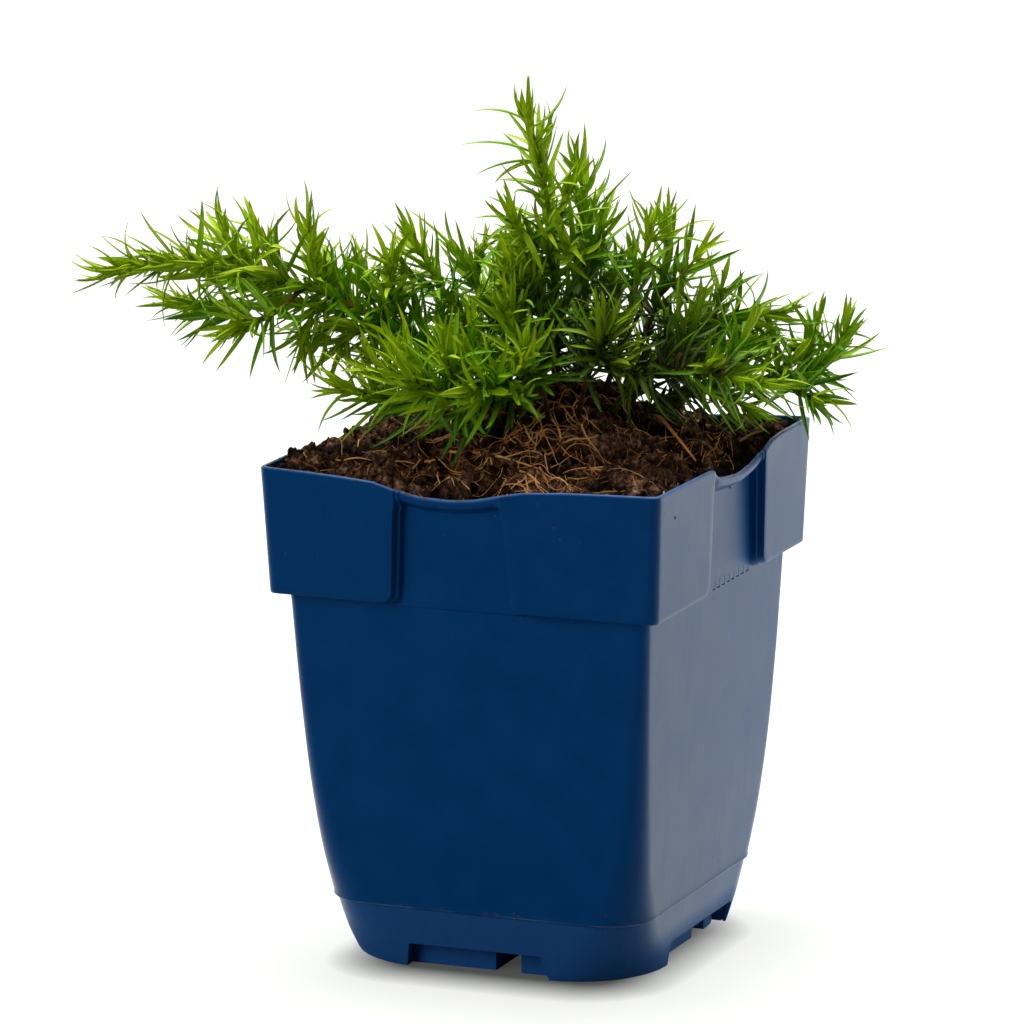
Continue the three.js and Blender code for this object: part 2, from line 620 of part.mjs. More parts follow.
function largestPiece(solid) {
  const pieces = solid.decompose();
  return pieces.reduce((best, piece) => (piece.volume() > best.volume() ? piece : best));
}

function makeSoil(mainStems) {
  const block = new THREE.BoxGeometry(92, 92, 2, SOIL_GRID, SOIL_GRID, 1);
  reshape(block, (place) => {
    place.z = place.z > 0 ? soilTop(place.x, place.y) : 0;
  });
  let soil = toSolid(block).intersect(potRoom(WALL + FIT_GAP, FLOOR + FIT_GAP));
  for (const root of ROOTS) {
    const points = root.places.map(([x, y]) => new THREE.Vector3(x, y, soilTop(x, y) + 0.35));
    const curve = new THREE.CatmullRomCurve3(points);
    const radiusAt = (t) => root.radius * (1 - 0.5 * Math.abs(2 * t - 1));
    soil = soil.add(rod(curve, ROOT_STEPS, ROOT_SIDES, radiusAt, 0.01, 0.99));
  }
  for (const stem of mainStems) {
    const radiusAt = (t) => stemRadius(stem, t) + HOLE_GAP;
    soil = soil.subtract(rod(stem.curve, stem.steps, stem.sides, radiusAt, -0.015, 1));
  }
  return largestPiece(soil);
}

function makePlant() {
  const room = new Room();
  const random = makeRandom(SEED);
  const plants = SHOOTS.map((shoot) => ({ name: shoot.name, stems: stemsOf(shoot) }));
  for (const { name, stems } of plants) {
    for (const stem of stems) {
      for (let t = 0; t <= 1.001; t += 0.02) {
        room.add(stem.curve.getPoint(t), stemRadius(stem, t), name, false);
      }
    }
  }
  for (const plant of plants) {
    plant.leaves = plant.stems.flatMap((stem) => growLeaves(stem, random, room, plant.name));
  }
  return plants;
}

function shootSolid({ stems, leaves }) {
  let solid = null;
  for (const stem of stems) {
    const wood = rod(stem.curve, stem.steps, stem.sides, (t) => stemRadius(stem, t), 0, 1);
    solid = solid ? solid.add(wood) : wood;
  }
  for (const leaf of leaves) solid = solid.add(leafSolid(leaf));
  return largestPiece(solid);
}

const object = new THREE.Group();
const plants = makePlant();
object.add(toMesh('pot', makePot(), PLASTIC));
object.add(toMesh('soil', makeSoil(plants.map(({ stems }) => stems[0])), EARTH));
for (const plant of plants) object.add(toMesh(plant.name, shootSolid(plant), FOLIAGE));

export default object;
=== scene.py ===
"""Creeping phlox in a square nursery pot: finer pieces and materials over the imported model.

Sizes of the pot, the soil and the plant are in millimetres, as in the part's source, and become metres
where a mesh is made. +Z is up and the origin is the middle of the pot's underside.
"""

import logging
import math
import random as dice
from collections.abc import Callable, Iterable, Sequence
from dataclasses import dataclass, field
from enum import Enum
from itertools import product
from math import cos, pi, sin, sqrt
from random import uniform

import bpy
import numpy as np
from mathutils import Matrix, Vector, noise


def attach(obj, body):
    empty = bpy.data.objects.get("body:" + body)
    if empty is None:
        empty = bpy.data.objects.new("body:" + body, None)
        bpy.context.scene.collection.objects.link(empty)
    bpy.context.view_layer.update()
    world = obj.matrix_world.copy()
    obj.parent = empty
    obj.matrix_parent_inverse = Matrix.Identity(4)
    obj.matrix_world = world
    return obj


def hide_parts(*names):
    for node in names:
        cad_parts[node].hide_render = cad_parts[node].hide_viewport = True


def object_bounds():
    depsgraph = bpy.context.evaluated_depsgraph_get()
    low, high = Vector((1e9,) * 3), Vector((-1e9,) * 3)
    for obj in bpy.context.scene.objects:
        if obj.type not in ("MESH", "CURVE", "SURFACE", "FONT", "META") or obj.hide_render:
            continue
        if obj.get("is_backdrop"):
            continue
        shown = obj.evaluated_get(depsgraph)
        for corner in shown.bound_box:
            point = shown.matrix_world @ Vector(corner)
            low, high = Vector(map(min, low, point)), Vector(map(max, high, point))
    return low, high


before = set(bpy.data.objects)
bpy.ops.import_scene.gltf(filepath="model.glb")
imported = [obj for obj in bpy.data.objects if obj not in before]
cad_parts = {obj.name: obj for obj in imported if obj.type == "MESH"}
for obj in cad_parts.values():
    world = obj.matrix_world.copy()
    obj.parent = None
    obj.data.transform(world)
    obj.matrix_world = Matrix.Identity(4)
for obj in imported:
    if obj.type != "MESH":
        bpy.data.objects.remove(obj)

LOG = logging.getLogger("phlox")
MM = 0.001
TURN = pi / 180

Pair = tuple[float, float]
Triple = tuple[float, float, float]
Four = tuple[float, float, float, float]
Pairs = tuple[Pair, ...]
Triples = tuple[Triple, ...]
Array = np.ndarray
Piece = bpy.types.Object
Finish = bpy.types.Material


class Slot(Enum):
    """The record's material slots."""

    PLASTIC = "plastic"
    SOIL = "soil"
    FOLIAGE = "foliage"


# Node expressions


class Graph:
    """A node tree that Python expressions add their nodes to."""

    def __init__(self, tree: bpy.types.NodeTree) -> None:
        """Keeps the tree."""
        self.tree = tree

    def add(
        self, kind: str, settings: dict | None = None, inputs: dict | None = None, out: int | str = 0
    ) -> "Term":
        """Adds a node, sets it, then fills or links its sockets.

        Args:
            kind: The node's type.
            settings: Its properties; "stops" gives a colour ramp's places and colours.
            inputs: Values or terms by socket name or number.
            out: The output that the term stands for.

        Returns:
            The term of that output.
        """
        node = self.tree.nodes.new(kind)
        for name, value in (settings or {}).items():
            if name == "stops":
                self._set_stops(node.color_ramp, value)
            else:
                setattr(node, name, value)
        for name, value in (inputs or {}).items():
            if isinstance(value, Term):
                self.tree.links.new(value.socket, node.inputs[name])
            else:
                node.inputs[name].default_value = value
        return Term(self, node.outputs[out] if node.outputs else None)

    @staticmethod
    def _set_stops(ramp: bpy.types.ColorRamp, stops: Sequence[tuple[float, Triple]]) -> None:
        """Gives a ramp its stops.

        Args:
            ramp: The ramp.
            stops: Their places and colours.
        """
        while len(ramp.elements) > 1:
            ramp.elements.remove(ramp.elements[-1])
        for index, (place, colour) in enumerate(stops):
            stop = ramp.elements[0] if index == 0 else ramp.elements.new(place)
            stop.position = place
            stop.color = (*colour, 1)


def operator(operation: str, reflected: bool = False) -> "Callable[[Term, Term | float], Term]":
    """A method of Term that adds a Math node.

    Args:
        operation: The node's operation.
        reflected: True where the term is the second of the two values.

    Returns:
        The method.
    """

    def method(self: "Term", other: "Term | float") -> "Term":
        """The operation on the two values."""
        return self.maths(operation, *((other, self) if reflected else (self, other)))

    return method


class Term:
    """A node's output that takes part in Python expressions."""

    def __init__(self, graph: Graph, socket: bpy.types.NodeSocket | None) -> None:
        """Keeps the graph and the socket."""
        self.graph = graph
        self.socket = socket

    def maths(self, operation: str, *values: "Term | float", clamp: bool = False) -> "Term":
        """A Math node on the values given, in their order."""
        settings = {"operation": operation, "use_clamp": clamp}
        return self.graph.add("ShaderNodeMath", settings, dict(enumerate(values)))

    __add__, __radd__ = operator("ADD"), operator("ADD", True)
    __sub__, __rsub__ = operator("SUBTRACT"), operator("SUBTRACT", True)
    __mul__, __rmul__ = operator("MULTIPLY"), operator("MULTIPLY", True)
    __truediv__, __rtruediv__ = operator("DIVIDE"), operator("DIVIDE", True)
    __pow__, __rpow__ = operator("POWER"), operator("POWER", True)
    least, most = operator("MINIMUM"), operator("MAXIMUM")
    above = operator("GREATER_THAN")

    def alone(self, operation: str) -> "Term":
        """A Math node on this term alone."""
        return self.maths(operation, self)

    def span(self, low: float, high: float) -> "Term":
        """0 at low, 1 at high, and clamped past them."""
        return self.maths("MULTIPLY", self - low, 1 / (high - low), clamp=True)

    def between(self, rise: Pair, fall: Pair) -> "Term":
        """0 below the rise, 1 from its end to the start of the fall, and 0 past the fall."""
        return self.span(*rise) * (1 - self.span(*fall))

    def vector_maths(self, operation: str, inputs: dict, out: str = "Vector") -> "Term":
        """A Vector Math node with the sockets given."""
        return self.graph.add("ShaderNodeVectorMath", {"operation": operation}, inputs, out)

    def vector(self, operation: str, *values: "Term | Sequence[float]") -> "Term":
        """A Vector Math node on this term and the values given."""
        return self.vector_maths(operation, dict(enumerate((self, *values))))

    def scaled(self, factor: "Term | float") -> "Term":
        """This vector times a number."""
        return self.vector_maths("SCALE", {0: self, "Scale": factor})

    def length(self) -> "Term":
        """The length of this vector."""
        return self.vector_maths("LENGTH", {0: self}, "Value")

    def axis(self, name: str) -> "Term":
        """One coordinate of this vector."""
        return self.graph.add("ShaderNodeSeparateXYZ", None, {0: self}, "XYZ".index(name))


# Materials


class Paint(Graph):
    """The node graph of one material, ended by a Principled shader."""

    def __init__(self, name: str) -> None:
        """Makes the material and empties its tree.

        Args:
            name: The material's name.
        """
        self.material = bpy.data.materials.new(name)
        self.material.use_nodes = True
        super().__init__(self.material.node_tree)
        self.tree.nodes.clear()
        self.place = self.add("ShaderNodeTexCoord", out="Object")

    def noise(self, size: float, detail: float = 3, rough: float = 0.5, at: Term | None = None) -> Term:
        """Noise whose grains are about the size given, in metres."""
        inputs = {"Vector": at or self.place, "Scale": 1 / size, "Detail": detail, "Roughness": rough}
        return self.add("ShaderNodeTexNoise", None, inputs, "Fac")

    def cells(self, size: float) -> Term:
        """The distance to the nearest of the points that lie about a size apart, in metres."""
        inputs = {"Vector": self.place, "Scale": 1 / size}
        return self.add("ShaderNodeTexVoronoi", {"feature": "F1"}, inputs, "Distance")

    def attribute(self, name: str) -> Term:
        """A number that the mesh carries."""
        return self.add("ShaderNodeAttribute", {"attribute_name": name}, None, "Fac")

    def mix(self, factor: Term | float, first: Term | Triple, second: Term | Triple) -> Term:
        """A mix of two colours.

        Args:
            factor: The second colour's share.
            first: A colour term, or three numbers.
            second: The same.

        Returns:
            The mixed colour.
        """
        colours = {6: first, 7: second}
        inputs = {k: v if isinstance(v, Term) else (*v, 1) for k, v in colours.items()}
        return self.add("ShaderNodeMix", {"data_type": "RGBA"}, {0: factor, **inputs}, 2)

    def ramp(self, factor: Term, stops: Sequence[tuple[float, Triple]]) -> Term:
        """A colour ramp."""
        return self.add("ShaderNodeValToRGB", {"stops": stops}, {"Fac": factor})

    def bump(self, height: Term, depth: float, strength: float = 1) -> Term:
        """A normal bent by a height, at the depth given in metres."""
        return self.add("ShaderNodeBump", None, {"Height": height, "Distance": depth, "Strength": strength})

    def finish(self, **sockets: "Term | float | Triple") -> Finish:
        """Ends the material in a Principled shader.

        Args:
            sockets: Its sockets, with an underscore for each blank in a name.

        Returns:
            The finished material.
        """
        inputs = {}
        for name, value in sockets.items():
            inputs[name.replace("_", " ")] = (*value, 1) if isinstance(value, tuple) else value
        shader = self.add("ShaderNodeBsdfPrincipled", None, inputs)
        self.add("ShaderNodeOutputMaterial", None, {"Surface": shader})
        return self.material


@dataclass(frozen=True)
class PotPlastic:
    """Satin navy plastic with faint moulding mottle and streaks, dust and specks of peat, a foot band painted
    paler, and painted highlights on the rim's upward edges and along the foot ledge.
    """

    deep: Triple = (0.0004, 0.057, 0.213)
    light: Triple = (0.0006, 0.066, 0.241)
    # The paler blue of the foot band, a painted lighter tone.
    foot: Triple = (0.018, 0.096, 0.305)
    dirt: Triple = (0.11, 0.066, 0.038)
    dust: Triple = (0.09, 0.12, 0.17)
    # Colour of the painted highlights on the rim's upward edges and along the foot ledge.
    painted_highlight: Triple = (0.1, 0.18, 0.36)
    roughness: float = 0.33
    speck: float = 0.0042
    crumb: float = 0.009
    foot_top: Pair = (0.0127, 0.0137)
    rim_start: Pair = (0.1, 0.102)
    step: Pairs = ((0.01308, 0.0132), (0.01345, 0.0136))
    ledge: Pairs = ((0.0131, 0.0134), (0.0138, 0.0142))

    def make(self) -> Finish:
        """The finished material."""
        paint = Paint("pot_plastic")
        height = paint.place.axis("Z")
        upright = paint.place.vector("MULTIPLY", (1, 1, 0.07))
        streak = paint.noise(0.0013, 3, 0.6, upright)
        mottle = paint.noise(0.009, 4, 0.6)
        colour = paint.mix(mottle.span(0.3, 0.7), self.deep, self.light)
        # Painted light: the foot band below the ledge is painted a paler blue.
        below = 1 - height.span(*self.foot_top)
        colour = paint.mix(below * (0.55 + streak * 0.5), colour, self.foot)
        # Painted highlight: near the rim, surfaces that face up are painted lighter, as if lit from above.
        up = paint.add("ShaderNodeNewGeometry", out="Normal").axis("Z")
        edge = up.span(0.2, 0.8) * height.span(*self.rim_start)
        colour = paint.mix(edge * (0.2 + mottle * 0.5), colour, self.painted_highlight)
        # Painted highlight: a thin lighter line along the edge of the foot ledge.
        step = height.between(*self.step)
        colour = paint.mix(step * paint.noise(0.007, 2).span(0.35, 0.6), colour, self.painted_highlight)
        dusty = paint.noise(0.0016, 2, 0.7).span(0.6, 0.75) * paint.noise(0.03, 2).span(0.42, 0.7)
        colour = paint.mix((dusty + streak.span(0.55, 0.8)) * 0.03, colour, self.dust)
        specks = self._specks(paint, height, edge)
        colour = paint.mix(specks * 0.9, colour, self.dirt)
        grain = paint.noise(0.0012, 3, 0.6)
        waves = paint.noise(0.028, 2, 0.4)
        under = 1 - height.span(0.003, 0.009)
        rough = self.roughness + streak.span(0.3, 0.75) * 0.05 + mottle.span(0.3, 0.7) * 0.05
        rough = (rough + dusty * 0.1 + (specks + under) * 0.35).least(1)
        relief = grain * 0.025 + waves * 0.6 + streak * 0.05 + specks * 0.5
        normal = paint.bump(relief, 0.00035, 0.5)
        return paint.finish(Base_Color=colour, Roughness=rough, Normal=normal, IOR=1.2)

    def _specks(self, paint: Paint, height: Term, edge: Term) -> Term:
        """Where specks and crumbs of peat stick: near the rim and the foot, on the ledge and on the edges.

        Args:
            paint: The material's graph.
            height: The height above the ground.
            edge: Where the rim's edge looks up.

        Returns:
            The share of dirt.
        """
        where = paint.noise(0.017, 2).span(0.44, 0.6)
        high = height.span(0.086, 0.112)
        low = 1 - height.span(0.012, 0.02)
        near = (high * 0.9 + low * 0.5 + 0.22).least(1)
        fine = 1 - paint.cells(self.speck).span(0.035, 0.075)
        coarse = 1 - paint.cells(self.crumb).span(0.018, 0.036)
        ledge = height.between(*self.ledge)
        ledge = ledge * paint.noise(0.0022, 3, 0.7).span(0.55, 0.66) * paint.noise(0.014, 1).span(0.46, 0.6)
        ledge = ledge + edge * paint.noise(0.0016, 3, 0.7).span(0.55, 0.63)
        return (((fine + coarse).least(1) * where * near).span(0.12, 0.3) + ledge).least(1)


@dataclass(frozen=True)
class Peat:
    """Dark moist peat, from black to tan where it is dry, with painted shade in its hollows."""

    black: Triple = (0.0022, 0.0013, 0.001)
    brown: Triple = (0.078, 0.036, 0.019)
    tan: Triple = (0.62, 0.35, 0.2)
    dry: float = 0.4

    def make(self, name: str) -> Finish:
        """The finished material, under the name given.

        Args:
            name: The material's name.

        Returns:
            The material.
        """
        paint = Paint(name)
        coarse = paint.noise(0.006, 4, 0.6)
        fine = paint.noise(0.0011, 4, 0.7)
        tone = coarse * 0.6 + fine * 0.55
        colour = paint.ramp(tone, [(0.47, self.black), (0.6, self.brown), (0.8, self.tan)])
        dry = paint.noise(0.02, 3).span(0.52, 0.72) * fine.span(0.45, 0.7)
        colour = paint.mix(dry * self.dry, colour, self.tan)
        # Painted shade: low places in the surface are painted black.
        hollow_shade = 1 - paint.attribute("relief").span(-1.2, 0.3)
        colour = paint.mix(hollow_shade * 0.95, colour, self.black)
        height = fine * 0.7 + paint.noise(0.0005, 2, 0.7) * 0.4
        normal = paint.bump(height, 0.0011, 1)
        rough = 0.72 + fine * 0.25
        return paint.finish(Base_Color=colour, Roughness=rough, Normal=normal, IOR=1.15)


@dataclass(frozen=True)
class Fibre:
    """Root and straw fibres, each with its own tone."""

    dark: Triple = (0.15, 0.048, 0.012)
    middle: Triple = (0.74, 0.295, 0.066)
    pale: Triple = (0.95, 0.59, 0.235)

    def make(self) -> Finish:
        """The finished material."""
        paint = Paint("fibre")
        tone = paint.attribute("tint") * 0.8 + paint.noise(0.002, 2) * 0.25
        colour = paint.ramp(tone, [(0.12, self.dark), (0.5, self.middle), (0.95, self.pale)])
        normal = paint.bump(paint.noise(0.0006, 2), 0.0002, 0.6)
        return paint.finish(Base_Color=colour, Roughness=0.55 + tone * 0.2, Normal=normal, IOR=1.15)


@dataclass(frozen=True)
class Leaf:
    """Needle leaves: bright at a shoot's tip, darker below, with painted light on the upper, left and
    front-left leaves, painted shade deep in the canopy, a paler midrib that is partly a painted sheen, and a
    brown point.
    """

    shaded: Triple = (0.0008, 0.012, 0.0004)
    old: Triple = (0.022, 0.11, 0.0012)
    full: Triple = (0.124, 0.385, 0.0018)
    young: Triple = (0.42, 0.59, 0.003)
    rib: Triple = (0.3, 0.45, 0.03)
    point: Triple = (0.15, 0.09, 0.015)
    root: Triple = (0.38, 0.44, 0.014)
    # Where leaves are painted brighter as painted light: higher up, at the left, and round a tuft at the
    # front left.
    lit: Pair = (0.116, 0.152)
    left: Pairs = ((-0.08, -0.05), (-0.04, -0.012))
    tuft_place: Triple = (-0.02, -0.032, 0.124)
    tuft_reach: Pair = (0.007, 0.021)
    # Where the painted shade in the middle of the canopy lies.
    inner_place: Triple = (0.019, 0.002, 0)
    inner_reach: Pair = (0.016, 0.034)
    inner_top: Pair = (0.131, 0.148)

    def make(self) -> Finish:
        """The finished material."""
        paint = Paint("leaf")
        along = paint.attribute("along")
        across = paint.attribute("across").alone("ABSOLUTE")
        age = paint.attribute("age")
        tint = paint.attribute("tint")
        height = paint.place.axis("Z")
        # Painted light: leaves higher up, at the left and round the front-left tuft are painted brighter.
        rise, fall = self.left
        side = paint.place.axis("X")
        outer = (1 - side.span(*fall)) * side.span(*rise)
        tuft = 1 - paint.place.vector("SUBTRACT", self.tuft_place).length().span(*self.tuft_reach)
        vigour_and_painted_light = age * 0.66 + tint * 0.4 + height.span(*self.lit) * 0.24 + outer * 0.17 + tuft * 0.13 - 0.19
        vigour_and_painted_light = (vigour_and_painted_light + paint.noise(0.004, 2) * 0.12).most(0)
        colour = paint.ramp(vigour_and_painted_light, [(0.05, self.old), (0.42, self.full), (0.95, self.young)])
        # Painted shade: leaves low in the middle of the canopy are painted near black.
        middle = paint.place.vector("SUBTRACT", self.inner_place).vector("MULTIPLY", (1, 1, 0))
        inner = (1 - middle.length().span(*self.inner_reach)) * (1 - height.span(*self.inner_top))
        colour = paint.mix(inner * 0.95, colour, self.shaded)
        streak = paint.noise(0.0007, 2, 0.6)
        colour = paint.mix(streak.span(0.35, 0.75) * 0.22, colour, self.rib)
        # A paler midrib: partly the leaf's own colour and partly a painted sheen.
        rib = (1 - across.span(0.05, 0.3)) * (1 - along.span(0.55, 0.9))
        colour = paint.mix(rib * 0.32, colour, self.rib)
        colour = paint.mix((1 - along.span(0.03, 0.22)) * age * 0.5, colour, self.root)
        colour = paint.mix(along.span(0.9, 1) * tint.span(0.3, 0.8) * 0.8, colour, self.point)
        normal = paint.bump(across.span(0, 1) * 0.5 + streak * 0.3, 0.0003, 0.7)
        rough = 0.4 + streak * 0.2
        return paint.finish(Base_Color=colour, Roughness=rough, Normal=normal, IOR=1.2)


@dataclass(frozen=True)
class Stem:
    """Stems: brown and woody below, green to orange at the nodes above, and painted darker low down as
    painted shade.
    """

    wood: Triple = (0.05, 0.024, 0.011)
    green: Triple = (0.18, 0.23, 0.016)
    orange: Triple = (0.4, 0.21, 0.045)
    shaded: Triple = (0.01, 0.006, 0.0025)

    def make(self) -> Finish:
        """The finished material."""
        paint = Paint("stem")
        age = paint.attribute("age")
        blotch = paint.noise(0.003, 3)
        tone = age + blotch * 0.3 - 0.1
        colour = paint.ramp(tone, [(0.12, self.wood), (0.42, self.orange), (0.7, self.green)])
        colour = paint.mix(blotch.span(0.5, 0.7) * 0.4, colour, self.wood)
        # Painted shade: stems low under the leaves are painted darker.
        low = 1 - paint.place.axis("Z").span(0.12, 0.136)
        colour = paint.mix(low * 0.75, colour, self.shaded)
        normal = paint.bump(paint.noise(0.0008, 2), 0.0003, 0.8)
        return paint.finish(Base_Color=colour, Roughness=0.55 + blotch * 0.15, Normal=normal, IOR=1.3)


# Meshes and geometry nodes


def make_piece(
    name: str, points: Sequence | Array = (), faces: Iterable[Sequence[int]] = (), edges: Sequence = ()
) -> Piece:
    """A new mesh object at the origin.

    Args:
        name: The piece's name.
        points: Its vertices in metres.
        faces: Vertex numbers of each face.
        edges: Vertex numbers of loose edges.

    Returns:
        The object.
    """
    mesh = bpy.data.meshes.new(name)
    mesh.from_pydata([tuple(point) for point in points], list(edges), [tuple(face) for face in faces])
    mesh.update()
    piece = bpy.data.objects.new(name, mesh)
    bpy.context.scene.collection.objects.link(piece)
    return piece


def stacked(name: str, rings: Sequence[Sequence[Sequence[float]]]) -> Piece:
    """A closed mesh of rings, each joined to the next, with a lid over the first and the last.

    Args:
        name: The object's name.
        rings: Places in millimetres, as many in each ring.

    Returns:
        The object, in metres.
    """
    wide = len(rings[0])
    faces: list[Sequence[int]] = []
    for low in range(0, (len(rings) - 1) * wide, wide):
        for c in range(wide):
            n = (c + 1) % wide
            faces.append((low + c, low + n, low + wide + n, low + wide + c))
    faces.append(tuple(reversed(range(wide))))
    last = (len(rings) - 1) * wide
    faces.append(tuple(range(last, last + wide)))
    return make_piece(name, np.array([place for ring in rings for place in ring]) * MM, faces)


def carry(piece: Piece, name: str, values: Sequence | Array, kind: str = "FLOAT") -> None:
    """Stores a number or a vector for each vertex of a piece.

    Args:
        piece: The mesh object.
        name: The attribute's name.
        values: One value, or three numbers, for each vertex.
        kind: FLOAT, FLOAT_VECTOR or BOOLEAN.
    """
    attribute = piece.data.attributes.new(name, kind, "POINT")
    key = "vector" if kind == "FLOAT_VECTOR" else "value"
    attribute.data.foreach_set(key, np.asarray(values).ravel())


def bake(piece: Piece) -> None:
    """Gives a piece the mesh that its modifiers make, and removes them.

    Args:
        piece: The object.
    """
    graph = bpy.context.evaluated_depsgraph_get()
    mesh = bpy.data.meshes.new_from_object(piece.evaluated_get(graph), depsgraph=graph)
    piece.modifiers.clear()
    piece.data = mesh


def settle(piece: Piece, angle: float, nodes: Sequence[str] = ()) -> None:
    """Shades a finished piece smooth and ties it to the frame.

    Args:
        piece: The piece.
        angle: The angle in degrees past which an edge stays sharp.
        nodes: The CAD nodes that it stands for.
    """
    piece.data.shade_smooth()
    piece.data.set_sharp_from_angle(angle=angle * TURN)
    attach(piece, "root")
    if nodes:
        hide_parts(*nodes)
    faces = sum(len(polygon.vertices) - 2 for polygon in piece.data.polygons)
    LOG.info("%s: %d triangles", piece.name, faces)


class Growth(Graph):
    """A Geometry Nodes tree with named inputs, turned into plain meshes."""

    def __init__(self, name: str) -> None:
        """Starts the tree with a geometry in and out.

        Args:
            name: The tree's name.
        """
        super().__init__(bpy.data.node_groups.new(name, "GeometryNodeTree"))
        self.tree.interface.new_socket("Geometry", in_out="INPUT", socket_type="NodeSocketGeometry")
        self.tree.interface.new_socket("Geometry", in_out="OUTPUT", socket_type="NodeSocketGeometry")
        self.entry = self.tree.nodes.new("NodeGroupInput")
        self.source = Term(self, self.entry.outputs["Geometry"])

    def ask(self, name: str, kind: str = "Float") -> Term:
        """A named input of the kind given."""
        self.tree.interface.new_socket(name, in_out="INPUT", socket_type=f"NodeSocket{kind}")
        return Term(self, self.entry.outputs[name])

    def named(self, name: str, kind: str = "FLOAT") -> Term:
        """A stored attribute of the geometry."""
        return self.add("GeometryNodeInputNamedAttribute", {"data_type": kind}, {"Name": name}, "Attribute")

    def store(self, geometry: Term, name: str, value: Term, kind: str = "FLOAT") -> Term:
        """The geometry with a value stored for each point."""
        settings = {"data_type": kind, "domain": "POINT"}
        inputs = {"Geometry": geometry, "Name": name, "Value": value}
        return self.add("GeometryNodeStoreNamedAttribute", settings, inputs)

    def random(self, low: float | Triple, high: float | Triple, seed: int) -> Term:
        """A random number, or three, for each point.

        Args:
            low: The least.
            high: The most.
            seed: The seed.

        Returns:
            The term of it.
        """
        vector = isinstance(low, tuple)
        settings = {"data_type": "FLOAT_VECTOR" if vector else "FLOAT"}
        inputs = {"Min": low, "Max": high, "Seed": seed}
        return self.add("FunctionNodeRandomValue", settings, inputs, 0 if vector else 1)

    def put(self, instance: Term, **inputs: Term) -> Term:
        """Real copies of a geometry at the points that the inputs name."""
        copies = self.add("GeometryNodeInstanceOnPoints", None, {"Instance": instance, **inputs})
        return self.add("GeometryNodeRealizeInstances", None, {"Geometry": copies})

    def tube(self, geometry: Term, sides: Term) -> Term:
        """Round tubes along the edges, as thick as their points' "thick" attribute says.

        Args:
            geometry: The edges.
            sides: How many sides the tubes have.

        Returns:
            The tubes.
        """
        lines = self.add("GeometryNodeMeshToCurve", None, {"Mesh": geometry})
        ring = self.add("GeometryNodeCurvePrimitiveCircle", None, {"Resolution": sides, "Radius": 1})
        sockets = {"Curve": lines, "Profile Curve": ring, "Scale": self.named("thick"), "Fill Caps": True}
        return self.add("GeometryNodeCurveToMesh", None, sockets)

    def end(self, geometry: Term, material: Finish) -> Term:
        """Gives every face a material."""
        return self.add("GeometryNodeSetMaterial", None, {"Geometry": geometry, "Material": material})

    def join(self, *parts: Term) -> Term:
        """Several geometries as one.

        Args:
            parts: The geometries.

        Returns:
            The one.
        """
        node = self.tree.nodes.new("GeometryNodeJoinGeometry")
        for part in parts:
            self.tree.links.new(part.socket, node.inputs[0])
        return Term(self, node.outputs[0])

    def close(self, geometry: Term) -> None:
        """Sends the geometry out of the tree."""
        leave = self.tree.nodes.new("NodeGroupOutput")
        self.tree.links.new(geometry.socket, leave.inputs["Geometry"])

    def grow(self, seed: Piece, values: dict[str, float | int]) -> Piece:
        """Runs the tree on an object and leaves a plain mesh in its place.

        Args:
            seed: The object that the tree starts from.
            values: The named inputs.

        Returns:
            The same object, with the grown mesh and no modifier.
        """
        modifier = seed.modifiers.new(self.tree.name, "NODES")
        modifier.node_group = self.tree
        items = self.tree.interface.items_tree
        sockets = {item.name: item.identifier for item in items if item.in_out == "INPUT"}
        for name, value in values.items():
            modifier[sockets[name]] = value
        bake(seed)
        return seed


# How the plant grows


@dataclass(frozen=True)
class Side:
    """A side shoot: its share along the main stem, three route points, leaf pairs and leaf length."""

    at: float
    route: Triples
    pairs: int
    length: float


@dataclass(frozen=True)
class Shoot:
    """A leafy shoot: its name after "shoot_", its route out of the soil, and its stem's and leaves' sizes."""

    name: str
    route: Triples
    radius: float
    bare: float
    pairs: int
    length: float
    sides: tuple[Side, ...] = ()


